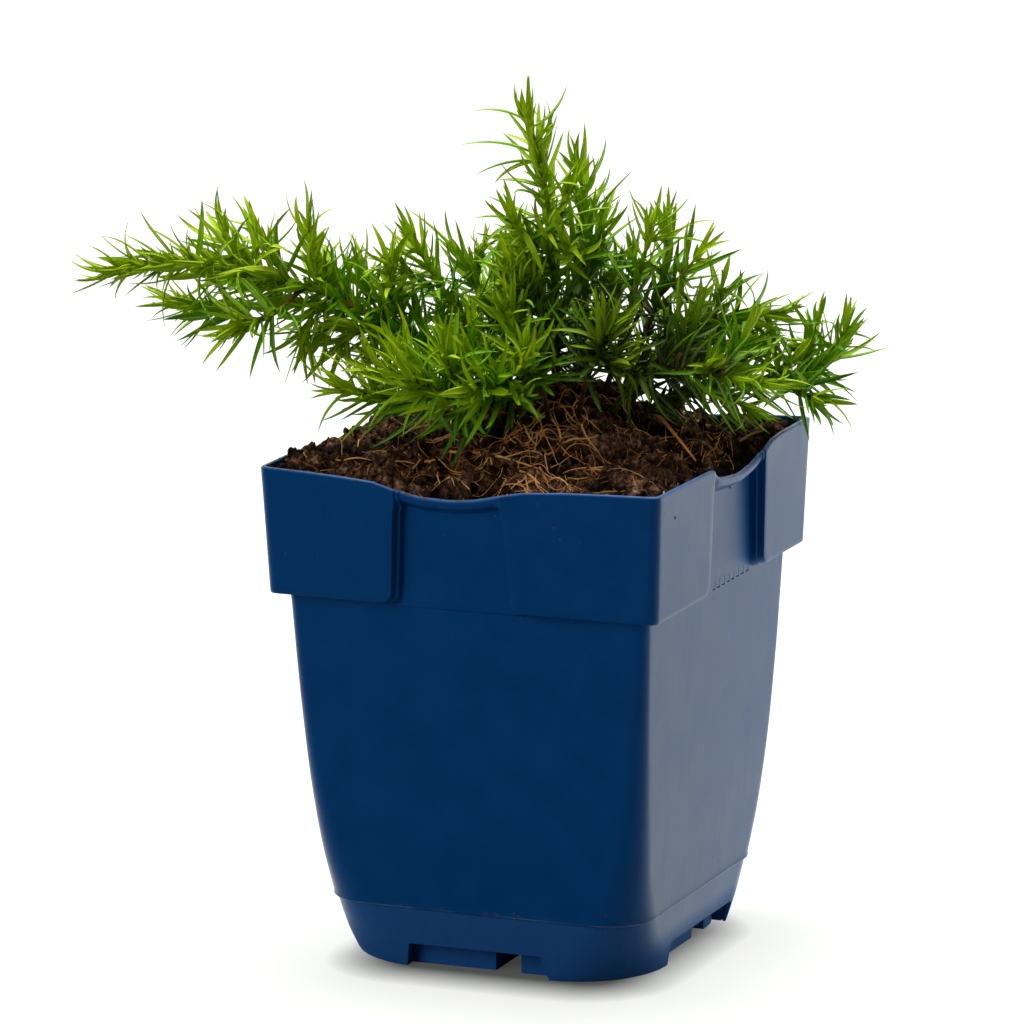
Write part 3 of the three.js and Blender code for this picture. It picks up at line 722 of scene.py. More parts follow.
SHOOTS = tuple(Shoot(*row) for row in (
    ("left_long", ((-5, 3, 109), (-22, -11, 139), (-58, -35, 155), (-77, -48, 149)), 1.3, 0.2, 22, 14.5, (
        Side(0.57, ((-56, -27, 136), (-62, -28, 138), (-70, -32, 140)), 7, 14),
        Side(0.54, ((-45, -34, 139), (-47, -39, 139), (-51, -43, 138)), 5, 13),
        Side(0.46, ((-40, -19, 141), (-41, -19, 144), (-42, -20, 148)), 3, 11),
        Side(0.36, ((-34, -11, 139), (-36, -11, 142), (-37, -10, 146)), 3, 11))),
    ("left_up", ((-4, 9, 110), (-14, -2, 132), (-20, -6, 141), (-24, -10, 152)), 1.1, 0.3, 10, 12.5),
    ("left_back", ((-5, 15, 110), (-12, 9, 131), (-15, 5, 138), (-18, 2, 146)), 1, 0.3, 10, 12),
    ("top", ((1, 9, 110), (0, 8, 133), (3, 6, 158), (-1, -3, 179)), 1.3, 0.2, 18, 14.5, (
        Side(0.55, ((0, 2, 150), (-1, -5, 154), (-2, -9, 158)), 4, 11),)),
    ("top_second", ((4, 15, 110), (3, 14, 133), (7, 16, 150), (4, 13, 166)), 1.2, 0.25, 14, 14, (
        Side(0.55, ((8, 13, 147), (10, 11, 151), (11, 9, 155)), 3, 11),
        Side(0.52, ((7, 7, 145), (8, 2, 149), (8, -3, 153)), 4, 12))),
    ("right_mid", ((9, 10, 110), (15, 11, 134), (20, 11, 145), (22, 9, 155)), 1.1, 0.3, 13, 12.5),
    ("right_up", ((10, 18, 110), (15, 20, 130), (24, 19, 140), (23, 16, 153)), 1.2, 0.28, 12, 13.5, (
        Side(0.5, ((13, 23, 136), (11, 25, 141), (11, 25, 147)), 3, 11),
        Side(0.62, ((25, 15, 142), (29, 12, 145), (32, 11, 149)), 4, 13))),
    ("right_long", ((13, 13, 110), (22, 16, 132), (30, 21, 135), (43, 28, 134)), 1.1, 0.3, 13, 13, (
        Side(0.68, ((33, 19, 137), (34, 18, 139), (35, 18, 142)), 2, 10),)),
    ("right_front", ((13, 4, 110), (22, 0, 132), (40, -7, 127), (54, -5, 126)), 1.3, 0.28, 13, 14, (
        Side(0.5, ((33, -2, 131), (35, 1, 134), (35, 3, 137)), 4, 13),
        Side(0.74, ((44, -3, 129), (46, -1, 132), (47, 0, 135)), 3, 12))),
    ("right_far", ((15, 19, 110), (28, 26, 124), (53, 38, 113), (56, 37, 130)), 1.1, 0.3, 14, 12.5, (
        Side(0.7, ((47, 38, 119), (46, 41, 121), (46, 43, 125)), 4, 11),
        Side(0.6, ((47, 27, 118), (50, 26, 118), (54, 25, 117)), 4, 12))),
    ("right_low", ((18, 9, 108), (21, 12, 122), (33, 14, 121), (42, 15, 116)), 1, 0.35, 9, 12),
    ("front_left", ((-6, -4, 109), (-6, -15, 125), (-9, -27, 121), (-16, -33, 128)), 1.2, 0.3, 15, 15.5, (
        Side(0.6, ((-8, -27, 125), (-8, -29, 129), (-8, -31, 133)), 4, 14),)),
    ("low_left", ((-10, -1, 108), (-16, -12, 120), (-23, -25, 119), (-31, -31, 124)), 1, 0.35, 10, 13),
    ("front_mid", ((-1, -3, 110), (0, -15, 126), (2, -26, 124), (-1, -33, 126)), 1.1, 0.32, 12, 14),
    ("centre_left", ((-1, 2, 110), (0, -5, 130), (0, -12, 134), (-1, -15, 139)), 1, 0.35, 9, 13),
    ("centre_up", ((4, 4, 110), (2, 1, 132), (1, -2, 138), (0, -4, 145)), 1.1, 0.35, 10, 13.5),
    ("centre_front", ((9, -1, 110), (13, -8, 127), (19, -11, 130), (20, -13, 135)), 1.1, 0.4, 10, 15),
    ("front_right", ((4, -4, 110), (7, -12, 126), (6, -19, 128), (6, -23, 132)), 1, 0.38, 9, 13.5),
    ("back_up", ((0, 20, 109), (5, 22, 129), (8, 23, 134), (8, 24, 140)), 1, 0.3, 9, 12),
    ("back_left", ((-9, 19, 108), (-11, 18, 131), (-14, 16, 138), (-14, 14, 144)), 1, 0.3, 9, 12),
    ("far_left", ((-11, 9, 108), (-16, 16, 124), (-24, 23, 126), (-31, 27, 126)), 1, 0.3, 10, 12),
    ("far_back", ((-3, 25, 108), (-4, 31, 122), (-5, 36, 124), (-4, 42, 124)), 1, 0.3, 10, 12),
    ("far_right", ((8, 25, 108), (14, 31, 122), (20, 36, 123), (26, 41, 121)), 1, 0.3, 9, 12),
))

# How far apart a shoot's leaf pairs are, as a share of the usual.
GAPS = {
    "left_long": 0.45, "top": 0.9, "top_second": 1.5, "right_mid": 3, "right_up": 3, "right_long": 1.05,
    "right_far": 0.86, "front_left": 0.8, "low_left": 0.8,
}
# How many degrees more its lower leaves lean out.
WIDE = {"top": 26, "top_second": 14}
# Short twigs: the share of the shoot's stem that they start at, and their tip.
PLACED = {
    "left_long": (
        (0.33, (-31.7, -16.6, 129)), (0.38, (-37.3, -20.6, 129.8)), (0.43, (-40.4, -23, 132.6)),
        (0.48, (-43.5, -26.2, 132)), (0.3, (-27, -11, 139.6)), (0.36, (-29.4, -12.8, 144.8)),
        (0.26, (-23.7, -9.1, 135.6))),
    "right_long": ((0.85, (37.3, 23.1, 127.2)), (0.95, (43.1, 26.1, 127.4))),
    "right_far": ((0.55, (38.5, 32.1, 124.9)), (0.9, (49, 34.8, 126.6))),
    "left_back": ((0.8, (-15.3, 6.2, 149.3)),),
    "centre_up": ((0.9, (-4.1, -2.5, 154.3)),),
}
# Long arched leaves: where they start, their tip, and how far they bow.
ARCHES = {
    "top": (
        ((-0.8, -2.5, 177.9), (-12.6, -7, 180.2), -0.45), ((0.3, 0.3, 170.3), (-16, -6, 172.6), -0.4),
        ((0.4, 0.7, 169.1), (-12.6, -5.6, 166.1), -0.35), ((-2, -9, 158), (-10.1, -12.3, 158.3), -0.3),
        ((-0.6, -2.1, 176.9), (5.9, 2.8, 186), 0.5), ((0, -0.5, 172.5), (3.6, 2.7, 179.6), 0.4)),
    "top_second": (
        ((4.6, 13.7, 161.9), (8.6, 17.8, 172.5), 0.45), ((5, 14.1, 157.8), (9.4, 18, 166.4), 0.6),
        ((10.9, 9.1, 154.8), (13.8, 11.5, 159.9), 0.6), ((4.1, 13.1, 165.2), (1.6, 14, 173.1), -0.3)),
    "right_mid": (
        ((21.2, 9.6, 151.4), (36, 15.6, 150), -0.4), ((22, 9, 155), (29.4, 13.6, 161.4), 0.3)),
    "right_long": (
        ((36.8, 24.6, 134.1), (41.3, 28.9, 144.2), 0.6), ((38.6, 25.6, 134.2), (45.4, 28.9, 135.9), -0.4),
        ((35.6, 24, 134), (35.9, 26.4, 144), 0.4)),
    "right_far": (
        ((50.9, 25.9, 117.6), (57.3, 26.4, 108.4), -0.5), ((49.7, 26.5, 117.9), (52.9, 26.2, 111), -0.4),
        ((55.8, 37, 129.2), (62.2, 39.3, 127.3), -0.3)),
    "left_long": (
        ((-62.3, -38, 149.8), (-62.2, -34.8, 163.4), 0.3),
        ((-60.8, -28.5, 138.3), (-71.2, -34.4, 131.8), -0.6),
        ((-50.4, -42.4, 138.1), (-54.5, -44.9, 134.6), -0.4),
        ((-53.2, -31.8, 147.8), (-51.9, -28.5, 159.5), 0.2)),
    "left_back": (
        ((-18, 2, 146), (-22.6, 2.8, 157.5), 0.4), ((-18, 2, 146), (-30, -0.4, 157.3), -0.2)),
    "front_left": (
        ((-8.1, -19.6, 121.6), (-4.6, -20.3, 112.4), -0.4),
        ((-13.7, -30.6, 125.9), (-23.5, -37, 116.6), -0.5)),
    "low_left": (
        ((-30.2, -30.4, 123.5), (-36.1, -35.1, 114), -0.5), ((-31, -31, 124), (-41.4, -33.6, 131.5), 0.45)),
}



class Dice:
    """Repeatable random numbers between 0 and 1, the same as in the part's source."""

    MASK = 0xFFFFFFFF

    def __init__(self, seed: int) -> None:
        """Starts from a seed."""
        self.state = seed

    def roll(self) -> float:
        """The next number."""
        self.state = (self.state + 0x6D2B79F5) & self.MASK
        mixed = ((self.state ^ (self.state >> 15)) * (self.state | 1)) & self.MASK
        mixed ^= (mixed + (((mixed ^ (mixed >> 7)) * (mixed | 61)) & self.MASK)) & self.MASK
        return (mixed ^ (mixed >> 14)) / 4294967296


def unit(way: Array) -> Array:
    """A vector at length 1."""
    return way / sqrt(way[0] ** 2 + way[1] ** 2 + way[2] ** 2)


def cross(a: Array, b: Array) -> Array:
    """The cross product, without the cost of the general one."""
    return np.array((a[1] * b[2] - a[2] * b[1], a[2] * b[0] - a[0] * b[2], a[0] * b[1] - a[1] * b[0]))


class Route:
    """A cubic Bézier curve in millimetres, with a frame that doesn't twist."""

    CLOSE = 0.002

    def __init__(self, points: Sequence[Sequence[float]]) -> None:
        """Keeps the four points and picks the axis that the curve keeps most clear of."""
        self.points = np.array(points, float)
        self.reference = np.zeros(3)
        self.reference[int(np.argmin(np.abs(self.points[3] - self.points[0])))] = 1

    def at(self, t: float) -> Array:
        """The place at a share of the curve."""
        k = 1 - t
        a, b, c, d = self.points
        return a * (k * k * k) + b * (3 * k * k * t) + c * (3 * k * t * t) + d * (t * t * t)

    def span(self) -> float:
        """Its length."""
        places = [self.at(step / 16) for step in range(17)]
        return float(sum(np.linalg.norm(b - a) for a, b in zip(places, places[1:])))

    def frame(self, t: float) -> tuple[Array, Array, Array]:
        """The way forward and two ways square to it."""
        forward = unit(self.at(t + self.CLOSE) - self.at(t - self.CLOSE))
        across = unit(cross(self.reference, forward))
        return forward, across, cross(forward, across)


@dataclass
class Needle:
    """One leaf: where it sits, how it grows, and the age and tint that its colour comes from."""

    base: Array
    forward: Array
    inward: Array
    length: float
    curl: float
    width: float
    age: float = 0.5
    tint: float = 0.5
    sway: float = 0.0

    FULL = 0.33

    def at(self, u: float) -> Array:
        """The place at a share of its length."""
        return self.base + self.forward * (self.length * u) + self.inward * (self.length * self.curl * u * u)

    def reach(self, u: float) -> float:
        """The half thickness that it needs kept clear at a share of its length."""
        widest = self.width / 2
        return widest if u < self.FULL else widest * (1 - u) / (1 - self.FULL) + 0.1


@dataclass
class Twig:
    """A stem: its route, radius, bare share, leaf pairs, leaf length, and how young its leaves are."""

    route: Route
    radius: float
    bare: float
    pairs: int
    length: float
    youth: float = 0.0

    THINNING = 0.45

    def thickness(self, t: float) -> float:
        """Its radius at a share of its length."""
        return self.radius * (1 - self.THINNING * t)


class Room:
    """Remembers where stems and leaves are, so that a new leaf can be kept clear of them."""

    CELL = 4
    GAP = 0.35

    def __init__(self) -> None:
        """Starts empty."""
        self.cells: dict[tuple[int, int, int], list[tuple]] = {}

    def key(self, place: Array) -> tuple[int, int, int]:
        """The cell that a place is in."""
        return tuple(math.floor(value / self.CELL) for value in place)

    def add(self, place: Array, radius: float, owner: str, loose: bool) -> None:
        """Remembers a ball of stem, or of leaf where it is loose."""
        self.cells.setdefault(self.key(place), []).append((*place.tolist(), radius, owner, loose))

    def taken(self, place: Array, radius: float, owner: str, loose: bool) -> bool:
        """True where a ball would come too near another shoot, or its own shoot's loose leaves.

        Args:
            place: The ball's middle.
            radius: Its radius.
            owner: Its shoot's name.
            loose: True where it is a leaf past its foot.

        Returns:
            True or False.
        """
        px, py, pz = place.tolist()
        for cell in product(*((middle - 1, middle, middle + 1) for middle in self.key(place))):
            for x, y, z, other, other_owner, other_loose in self.cells.get(cell, ()):
                own = other_owner == owner
                if own and not (loose and other_loose):
                    continue
                least = radius + other + (0 if own else self.GAP)
                if (px - x) ** 2 + (py - y) ** 2 + (pz - z) ** 2 < least * least:
                    return True
        return False


@dataclass
class Ground:
    """The soil's surface and the pot's rim, as the part's source has them."""

    level: float = 107.0
    half: float = 40.4
    tilt: Pair = (-0.03, 0.02)
    corner_rise: float = 1.2
    lump: float = 0.8
    wall_sink: float = 2.6
    mound: Four = (4, 8, 12.5, 15)
    bank: Four = (-42, 6, 3.4, 17)
    dent: Four = (42, 42, -1.8, 5)
    rim_height: float = 108.8
    rim_half: float = 45.0
    clearance: float = 0.35

    def top(self, x: float, y: float) -> float:
        """The height of the soil at a place seen from above.

        Args:
            x: The place to the right.
            y: The place to the back.

        Returns:
            The height.
        """
        lumps = sin(0.41 * x + 0.9) * sin(0.37 * y - 0.4)
        lumps += 0.7 * sin(0.83 * x - 0.31 * y) * sin(0.71 * y + 0.27 * x + 1.3)
        lumps += 0.5 * sin(1.27 * x + 0.6 * y) * sin(1.13 * y - 0.5 * x)
        sink = self.wall_sink * max(0, max(x, -y) / self.half) ** 10
        sink *= max(0, 1 - (min(abs(x), abs(y)) / self.half) ** 2)
        corner = self.corner_rise * (x * y / self.half**2) ** 2
        swell = 0.0
        for form_x, form_y, height, spread in (self.mound, self.bank, self.dent):
            swell += height * math.exp(-((x - form_x) ** 2 + (y - form_y) ** 2) / (2 * spread**2))
        slope = self.tilt[0] * x + self.tilt[1] * y
        return self.level + slope + corner + swell + self.lump * lumps - sink

    def meets(self, leaf: Needle, u: float) -> bool:
        """True where a leaf would touch the soil or the rim.

        Args:
            leaf: The leaf.
            u: The share of its length.

        Returns:
            True or False.
        """
        place = leaf.at(u)
        reach = leaf.reach(u) + self.clearance
        out = max(abs(place[0]), abs(place[1]))
        if out < self.half + 1 and place[2] < self.top(place[0], place[1]) + reach:
            return True
        return self.half - 1 < out < self.rim_half + 1.6 and place[2] < self.rim_height + reach


@dataclass
class Rule:
    """The rule by which stems carry leaves: turns and leans in degrees, lengths and curls as shares."""

    crowding: float = 0.92
    pair_turn: float = 90
    pair_sway: float = 40
    leaf_sway: float = 24
    lean: Triple = (66, 44, 18)
    fullness: Triple = (0.86, 0.36, 0.28)
    curl: Pair = (-0.1, 0.36)
    width: Triple = (1.9, 0.62, 0.026)
    tint: Pair = (0.2, 0.75)
    sway: Pair = (-0.07, 0.07)
    slim: float = 0.85
    probes: tuple[float, ...] = (0.18, 0.32, 0.46, 0.6, 0.74, 0.88, 1)
    give: Triples = (
        (0, 0, 1), (14, 0, 1), (-14, 0, 1), (0, -12, 1), (28, 0, 1), (-28, 0, 1), (0, 12, 1),
        (0, 0, 0.8), (20, -10, 0.8), (-20, -10, 0.8), (40, -15, 0.8), (-40, -15, 0.8),
        (0, -20, 0.65), (60, 0, 0.65), (-60, 0, 0.65),
    )

    def leaf(self, twig: Twig, t: float, turn: float, lean: float, length: float, curl: float) -> Needle:
        """A leaf on a twig.

        Args:
            twig: The stem that carries it.
            t: The share of the stem that it sits at.
            turn: Its turn round the stem, in degrees.
            lean: Its lean away from the stem's way forward, in degrees.
            length: Its length in millimetres.
            curl: How far its tip bends in, as a share of its length.

        Returns:
            The leaf.
        """
        forward, across, over = twig.route.frame(t)
        out = across * cos(turn * TURN) + over * sin(turn * TURN)
        ahead = forward * cos(lean * TURN) + out * sin(lean * TURN)
        inward = forward * sin(lean * TURN) + out * -cos(lean * TURN)
        widest, short, long = self.width
        return Needle(twig.route.at(t), ahead, inward, length, curl, widest * (short + long * length))

    def grow(self, twig: Twig, rolls: Dice, room: Room, ground: Ground, owner: str) -> list[Needle]:
        """The leaves that the solids have too: opposite pairs, each a quarter turn on from the last.

        Args:
            twig: The stem.
            rolls: The plant's random numbers, drawn in the source's order.
            room: What is already there.
            ground: The soil and the rim.
            owner: The shoot's name.

        Returns:
            The leaves, clear of the soil, the rim and other shoots.
        """
        roll = rolls.roll
        leaves = []
        for pair in range(twig.pairs):
            share = (pair + 0.5) / twig.pairs
            t = twig.bare + (1 - twig.bare) * share**self.crowding
            pair_turn = self.pair_turn * pair + self.pair_sway * (roll() - 0.5)
            for side in range(2):
                turn = pair_turn + 180 * side + self.leaf_sway * (roll() - 0.5)
                lean = self.lean[0] - self.lean[1] * share**2 + self.lean[2] * (roll() - 0.5)
                fullness = self.fullness[0] + self.fullness[1] * roll()
                length = twig.length * fullness * (1 - self.fullness[2] * share**3)
                curl = self.curl[0] + self.curl[1] * roll()
                for more_turn, more_lean, kept in self.give:
                    leaf = self.leaf(twig, t, turn + more_turn, lean + more_lean, length * kept, curl)
                    if not self.blocked(leaf, room, ground, owner):
                        leaf.age = share
                        leaf.tint = uniform(*self.tint)
                        leaf.sway = uniform(*self.sway)
                        leaf.width *= self.slim
                        leaves.append(leaf)
                        for u in self.probes:
                            room.add(leaf.at(u), leaf.reach(u), owner, u > self.probes[0])
                        break
        return leaves

    def blocked(self, leaf: Needle, room: Room, ground: Ground, owner: str) -> bool:
        """True where a leaf would touch the soil, the rim or another shoot."""
        return any(
            ground.meets(leaf, u) or room.taken(leaf.at(u), leaf.reach(u), owner, u > self.probes[0])
            for u in self.probes)


@dataclass
class Fullness:
    """The finer growth that the scene adds between the leaves of the solids."""

    rule: Rule
    ground: Ground
    spacing: Pair = (2.7, 3.2)
    front: float = 6.0
    start: Pair = (0.5, 1)
    last: float = 0.97
    turn: Triple = (137.5, 30, 50)
    lean: Triple = (64, 36, 26)
    size: Pair = (0.75, 1.28)
    shorter: float = 0.28
    slim: Pair = (0.66, 1.05)
    curl: Pair = (-0.8, 0.72)
    sway: float = 0.5
    rise: Pair = (-0.1, 0.4)
    tufts: int = 3
    tuft_length: Pair = (0.18, 0.46)
    tuft_lean: Pair = (14, 56)
    tuft_curl: Pair = (-0.35, 0.25)
    crown: tuple[int, int] = (5, 3)
    crown_length: Pair = (0.4, 0.85)
    crown_curl: Pair = (-0.3, 0.2)
    sprig_every: float = 4.4
    sprig_length: Pair = (8, 16)
    sprig_leaf: Pair = (0.75, 1)
    sprig_lift: Pair = (-0.25, 0.65)
    placed_bulge: float = 0.12
    arch_slim: float = 0.92

    def arched_leaves(self, name: str) -> list[Needle]:
        """Long arched leaves from a place on a stem to a tip's place, as the photograph shows them.

        Args:
            name: The shoot's name.

        Returns:
            The leaves.
        """
        found = []
        for root, tip, bow in ARCHES.get(name, ()):
            chord = np.array(tip) - np.array(root)
            span = float(np.linalg.norm(chord))
            way = chord / span
            rise = unit(np.array((0, 0, 1)) - way * way[2]) * math.copysign(1, bow)
            turn = abs(bow)
            forward = way * cos(turn) - rise * sin(turn)
            inward = rise * cos(turn) + way * sin(turn)
            length = span * turn / sin(turn)
            widest, short, long = self.rule.width
            width = self.arch_slim * widest * (short + long * length)
            found.append(Needle(np.array(root), forward, inward, length, turn, width, 0.4, 0.45))
        return found

    def placed_twigs(self, name: str, twig: Twig) -> list[Twig]:
        """Short twigs from a share of a main stem to a place, as the photograph shows them.

        Args:
            name: The shoot's name.
            twig: Its main stem.

        Returns:
            The twigs.
        """
        found = []
        for share, end in PLACED.get(name, ()):
            start = twig.route.at(share)
            way = np.array(end) - start
            bulge = twig.route.frame(share)[0] * (self.placed_bulge * float(np.linalg.norm(way)))
            route = Route((start, start + way * 0.35 + bulge, start + way * 0.7 + bulge, end))
            found.append(Twig(route, twig.radius * 0.4, 0.1, 4, twig.length * 0.85, 0.12))
        return found

    def more_leaves(self, twig: Twig, gap: float, wide: float) -> list[Needle]:
        """Pairs between the pairs, short leaves in the axils and a crown at the tip.

        Args:
            twig: The stem.
            gap: How far apart its pairs are, as a share of the usual.
            wide: How many degrees more than usual its lower leaves lean out.

        Returns:
            The leaves that are clear of the soil and the rim.
        """
        leaves = []
        side = twig.radius < 0.9
        first = twig.bare * self.start[twig.route.points[0][1] < self.front]
        nodes = max(3, round(twig.route.span() * (1 - first) / (self.spacing[side] * gap)))
        for node in range(nodes):
            share = (node + uniform(0.2, 0.8)) / nodes
            t = first + (self.last - first) * share
            for half in range(2):
                turn = self.turn[0] * node + 180 * half + uniform(-self.turn[1], self.turn[1])
                lean = self.lean[0] - self.lean[1] * share**2 + uniform(-self.lean[2], self.lean[2])
                lean += wide * (1 - share**3)
                length = twig.length * uniform(*self.size) * (1 - self.shorter * share**3)
                leaf = self.rule.leaf(twig, t, turn, lean, length, uniform(*self.curl))
                leaf.width *= uniform(*self.slim)
                leaves.append(self._aged(leaf, share))
                for _ in range(self.tufts):
                    length = twig.length * uniform(*self.tuft_length)
                    turn += uniform(-self.turn[2], self.turn[2])
                    place = t + uniform(-0.01, 0.01)
                    lean = uniform(*self.tuft_lean)
                    leaf = self.rule.leaf(twig, place, turn, lean, length, uniform(*self.tuft_curl))
                    leaves.append(self._aged(leaf, share + 0.12))
        for _ in range(round(self.crown[side] / max(1, gap))):
            length = twig.length * uniform(*self.crown_length)
            place, turn, lean = uniform(0.94, 1), uniform(0, 360), uniform(4, 24)
            leaf = self.rule.leaf(twig, place, turn, lean, length, uniform(*self.crown_curl))
            leaf.width *= uniform(*self.slim)
            leaves.append(self._aged(leaf, 1.1))
        for leaf in leaves:
            leaf.age = min(1, leaf.age + twig.youth)
        return [leaf for leaf in leaves if not any(self.ground.meets(leaf, u) for u in (0.6, 1))]

    def _aged(self, leaf: Needle, age: float) -> Needle:
        """A leaf with its age, a random tint, a bend to one side and a bend up to the light.

        Args:
            leaf: The leaf.
            age: Its age.

        Returns:
            The same leaf.
        """
        leaf.age = age
        leaf.tint = dice.random()
        rise = uniform(*self.rise) * min(1, leaf.length / 11)
        leaf.curl += rise * leaf.inward[2]
        sideways = cross(leaf.inward, leaf.forward)
        leaf.sway = uniform(-self.sway, self.sway) * leaf.length / 14 + rise * sideways[2]
        return leaf

    def sprigs(self, twig: Twig, gap: float) -> list[Twig]:
        """Short leafy twigs out of the axils of a main stem.

        Args:
            twig: The main stem.
            gap: How far apart they are, as a share of the usual.

        Returns:
            The twigs, each with its own route.
        """
        found = []
        count = round(twig.pairs / (self.sprig_every * gap)) if gap < 1.6 else 0
        for index in range(count):
            low = 0.5 if twig.route.points[0][1] < 2.5 else 0.2
            t = low + (0.7 - low) * (index + dice.random()) / count
            forward, across, over = twig.route.frame(t)
            turn = uniform(0, 360) * TURN
            out = across * cos(turn) + over * sin(turn)
            way = forward * uniform(0.4, 1) + out
            way = unit(way + np.array((0, 0, uniform(*self.sprig_lift))))
            length = uniform(*self.sprig_length) * (1 - 0.3 * t)
            start = twig.route.at(t)
            bend = np.array((0, 0, 0.22 * length)) + forward * (0.12 * length)
            tip = start + way * length + bend
            points = (start, start + way * (0.35 * length), start + way * (0.7 * length) + bend * 0.4, tip)
            if tip[2] < self.ground.top(tip[0], tip[1]) + 3 and max(abs(tip[0]), abs(tip[1])) < 47:
                continue
            leaf = twig.length * uniform(*self.sprig_leaf)
            found.append(Twig(Route(points), twig.radius * 0.4, 0.1, 4, leaf, 0.1 + 0.2 * t))
        return found


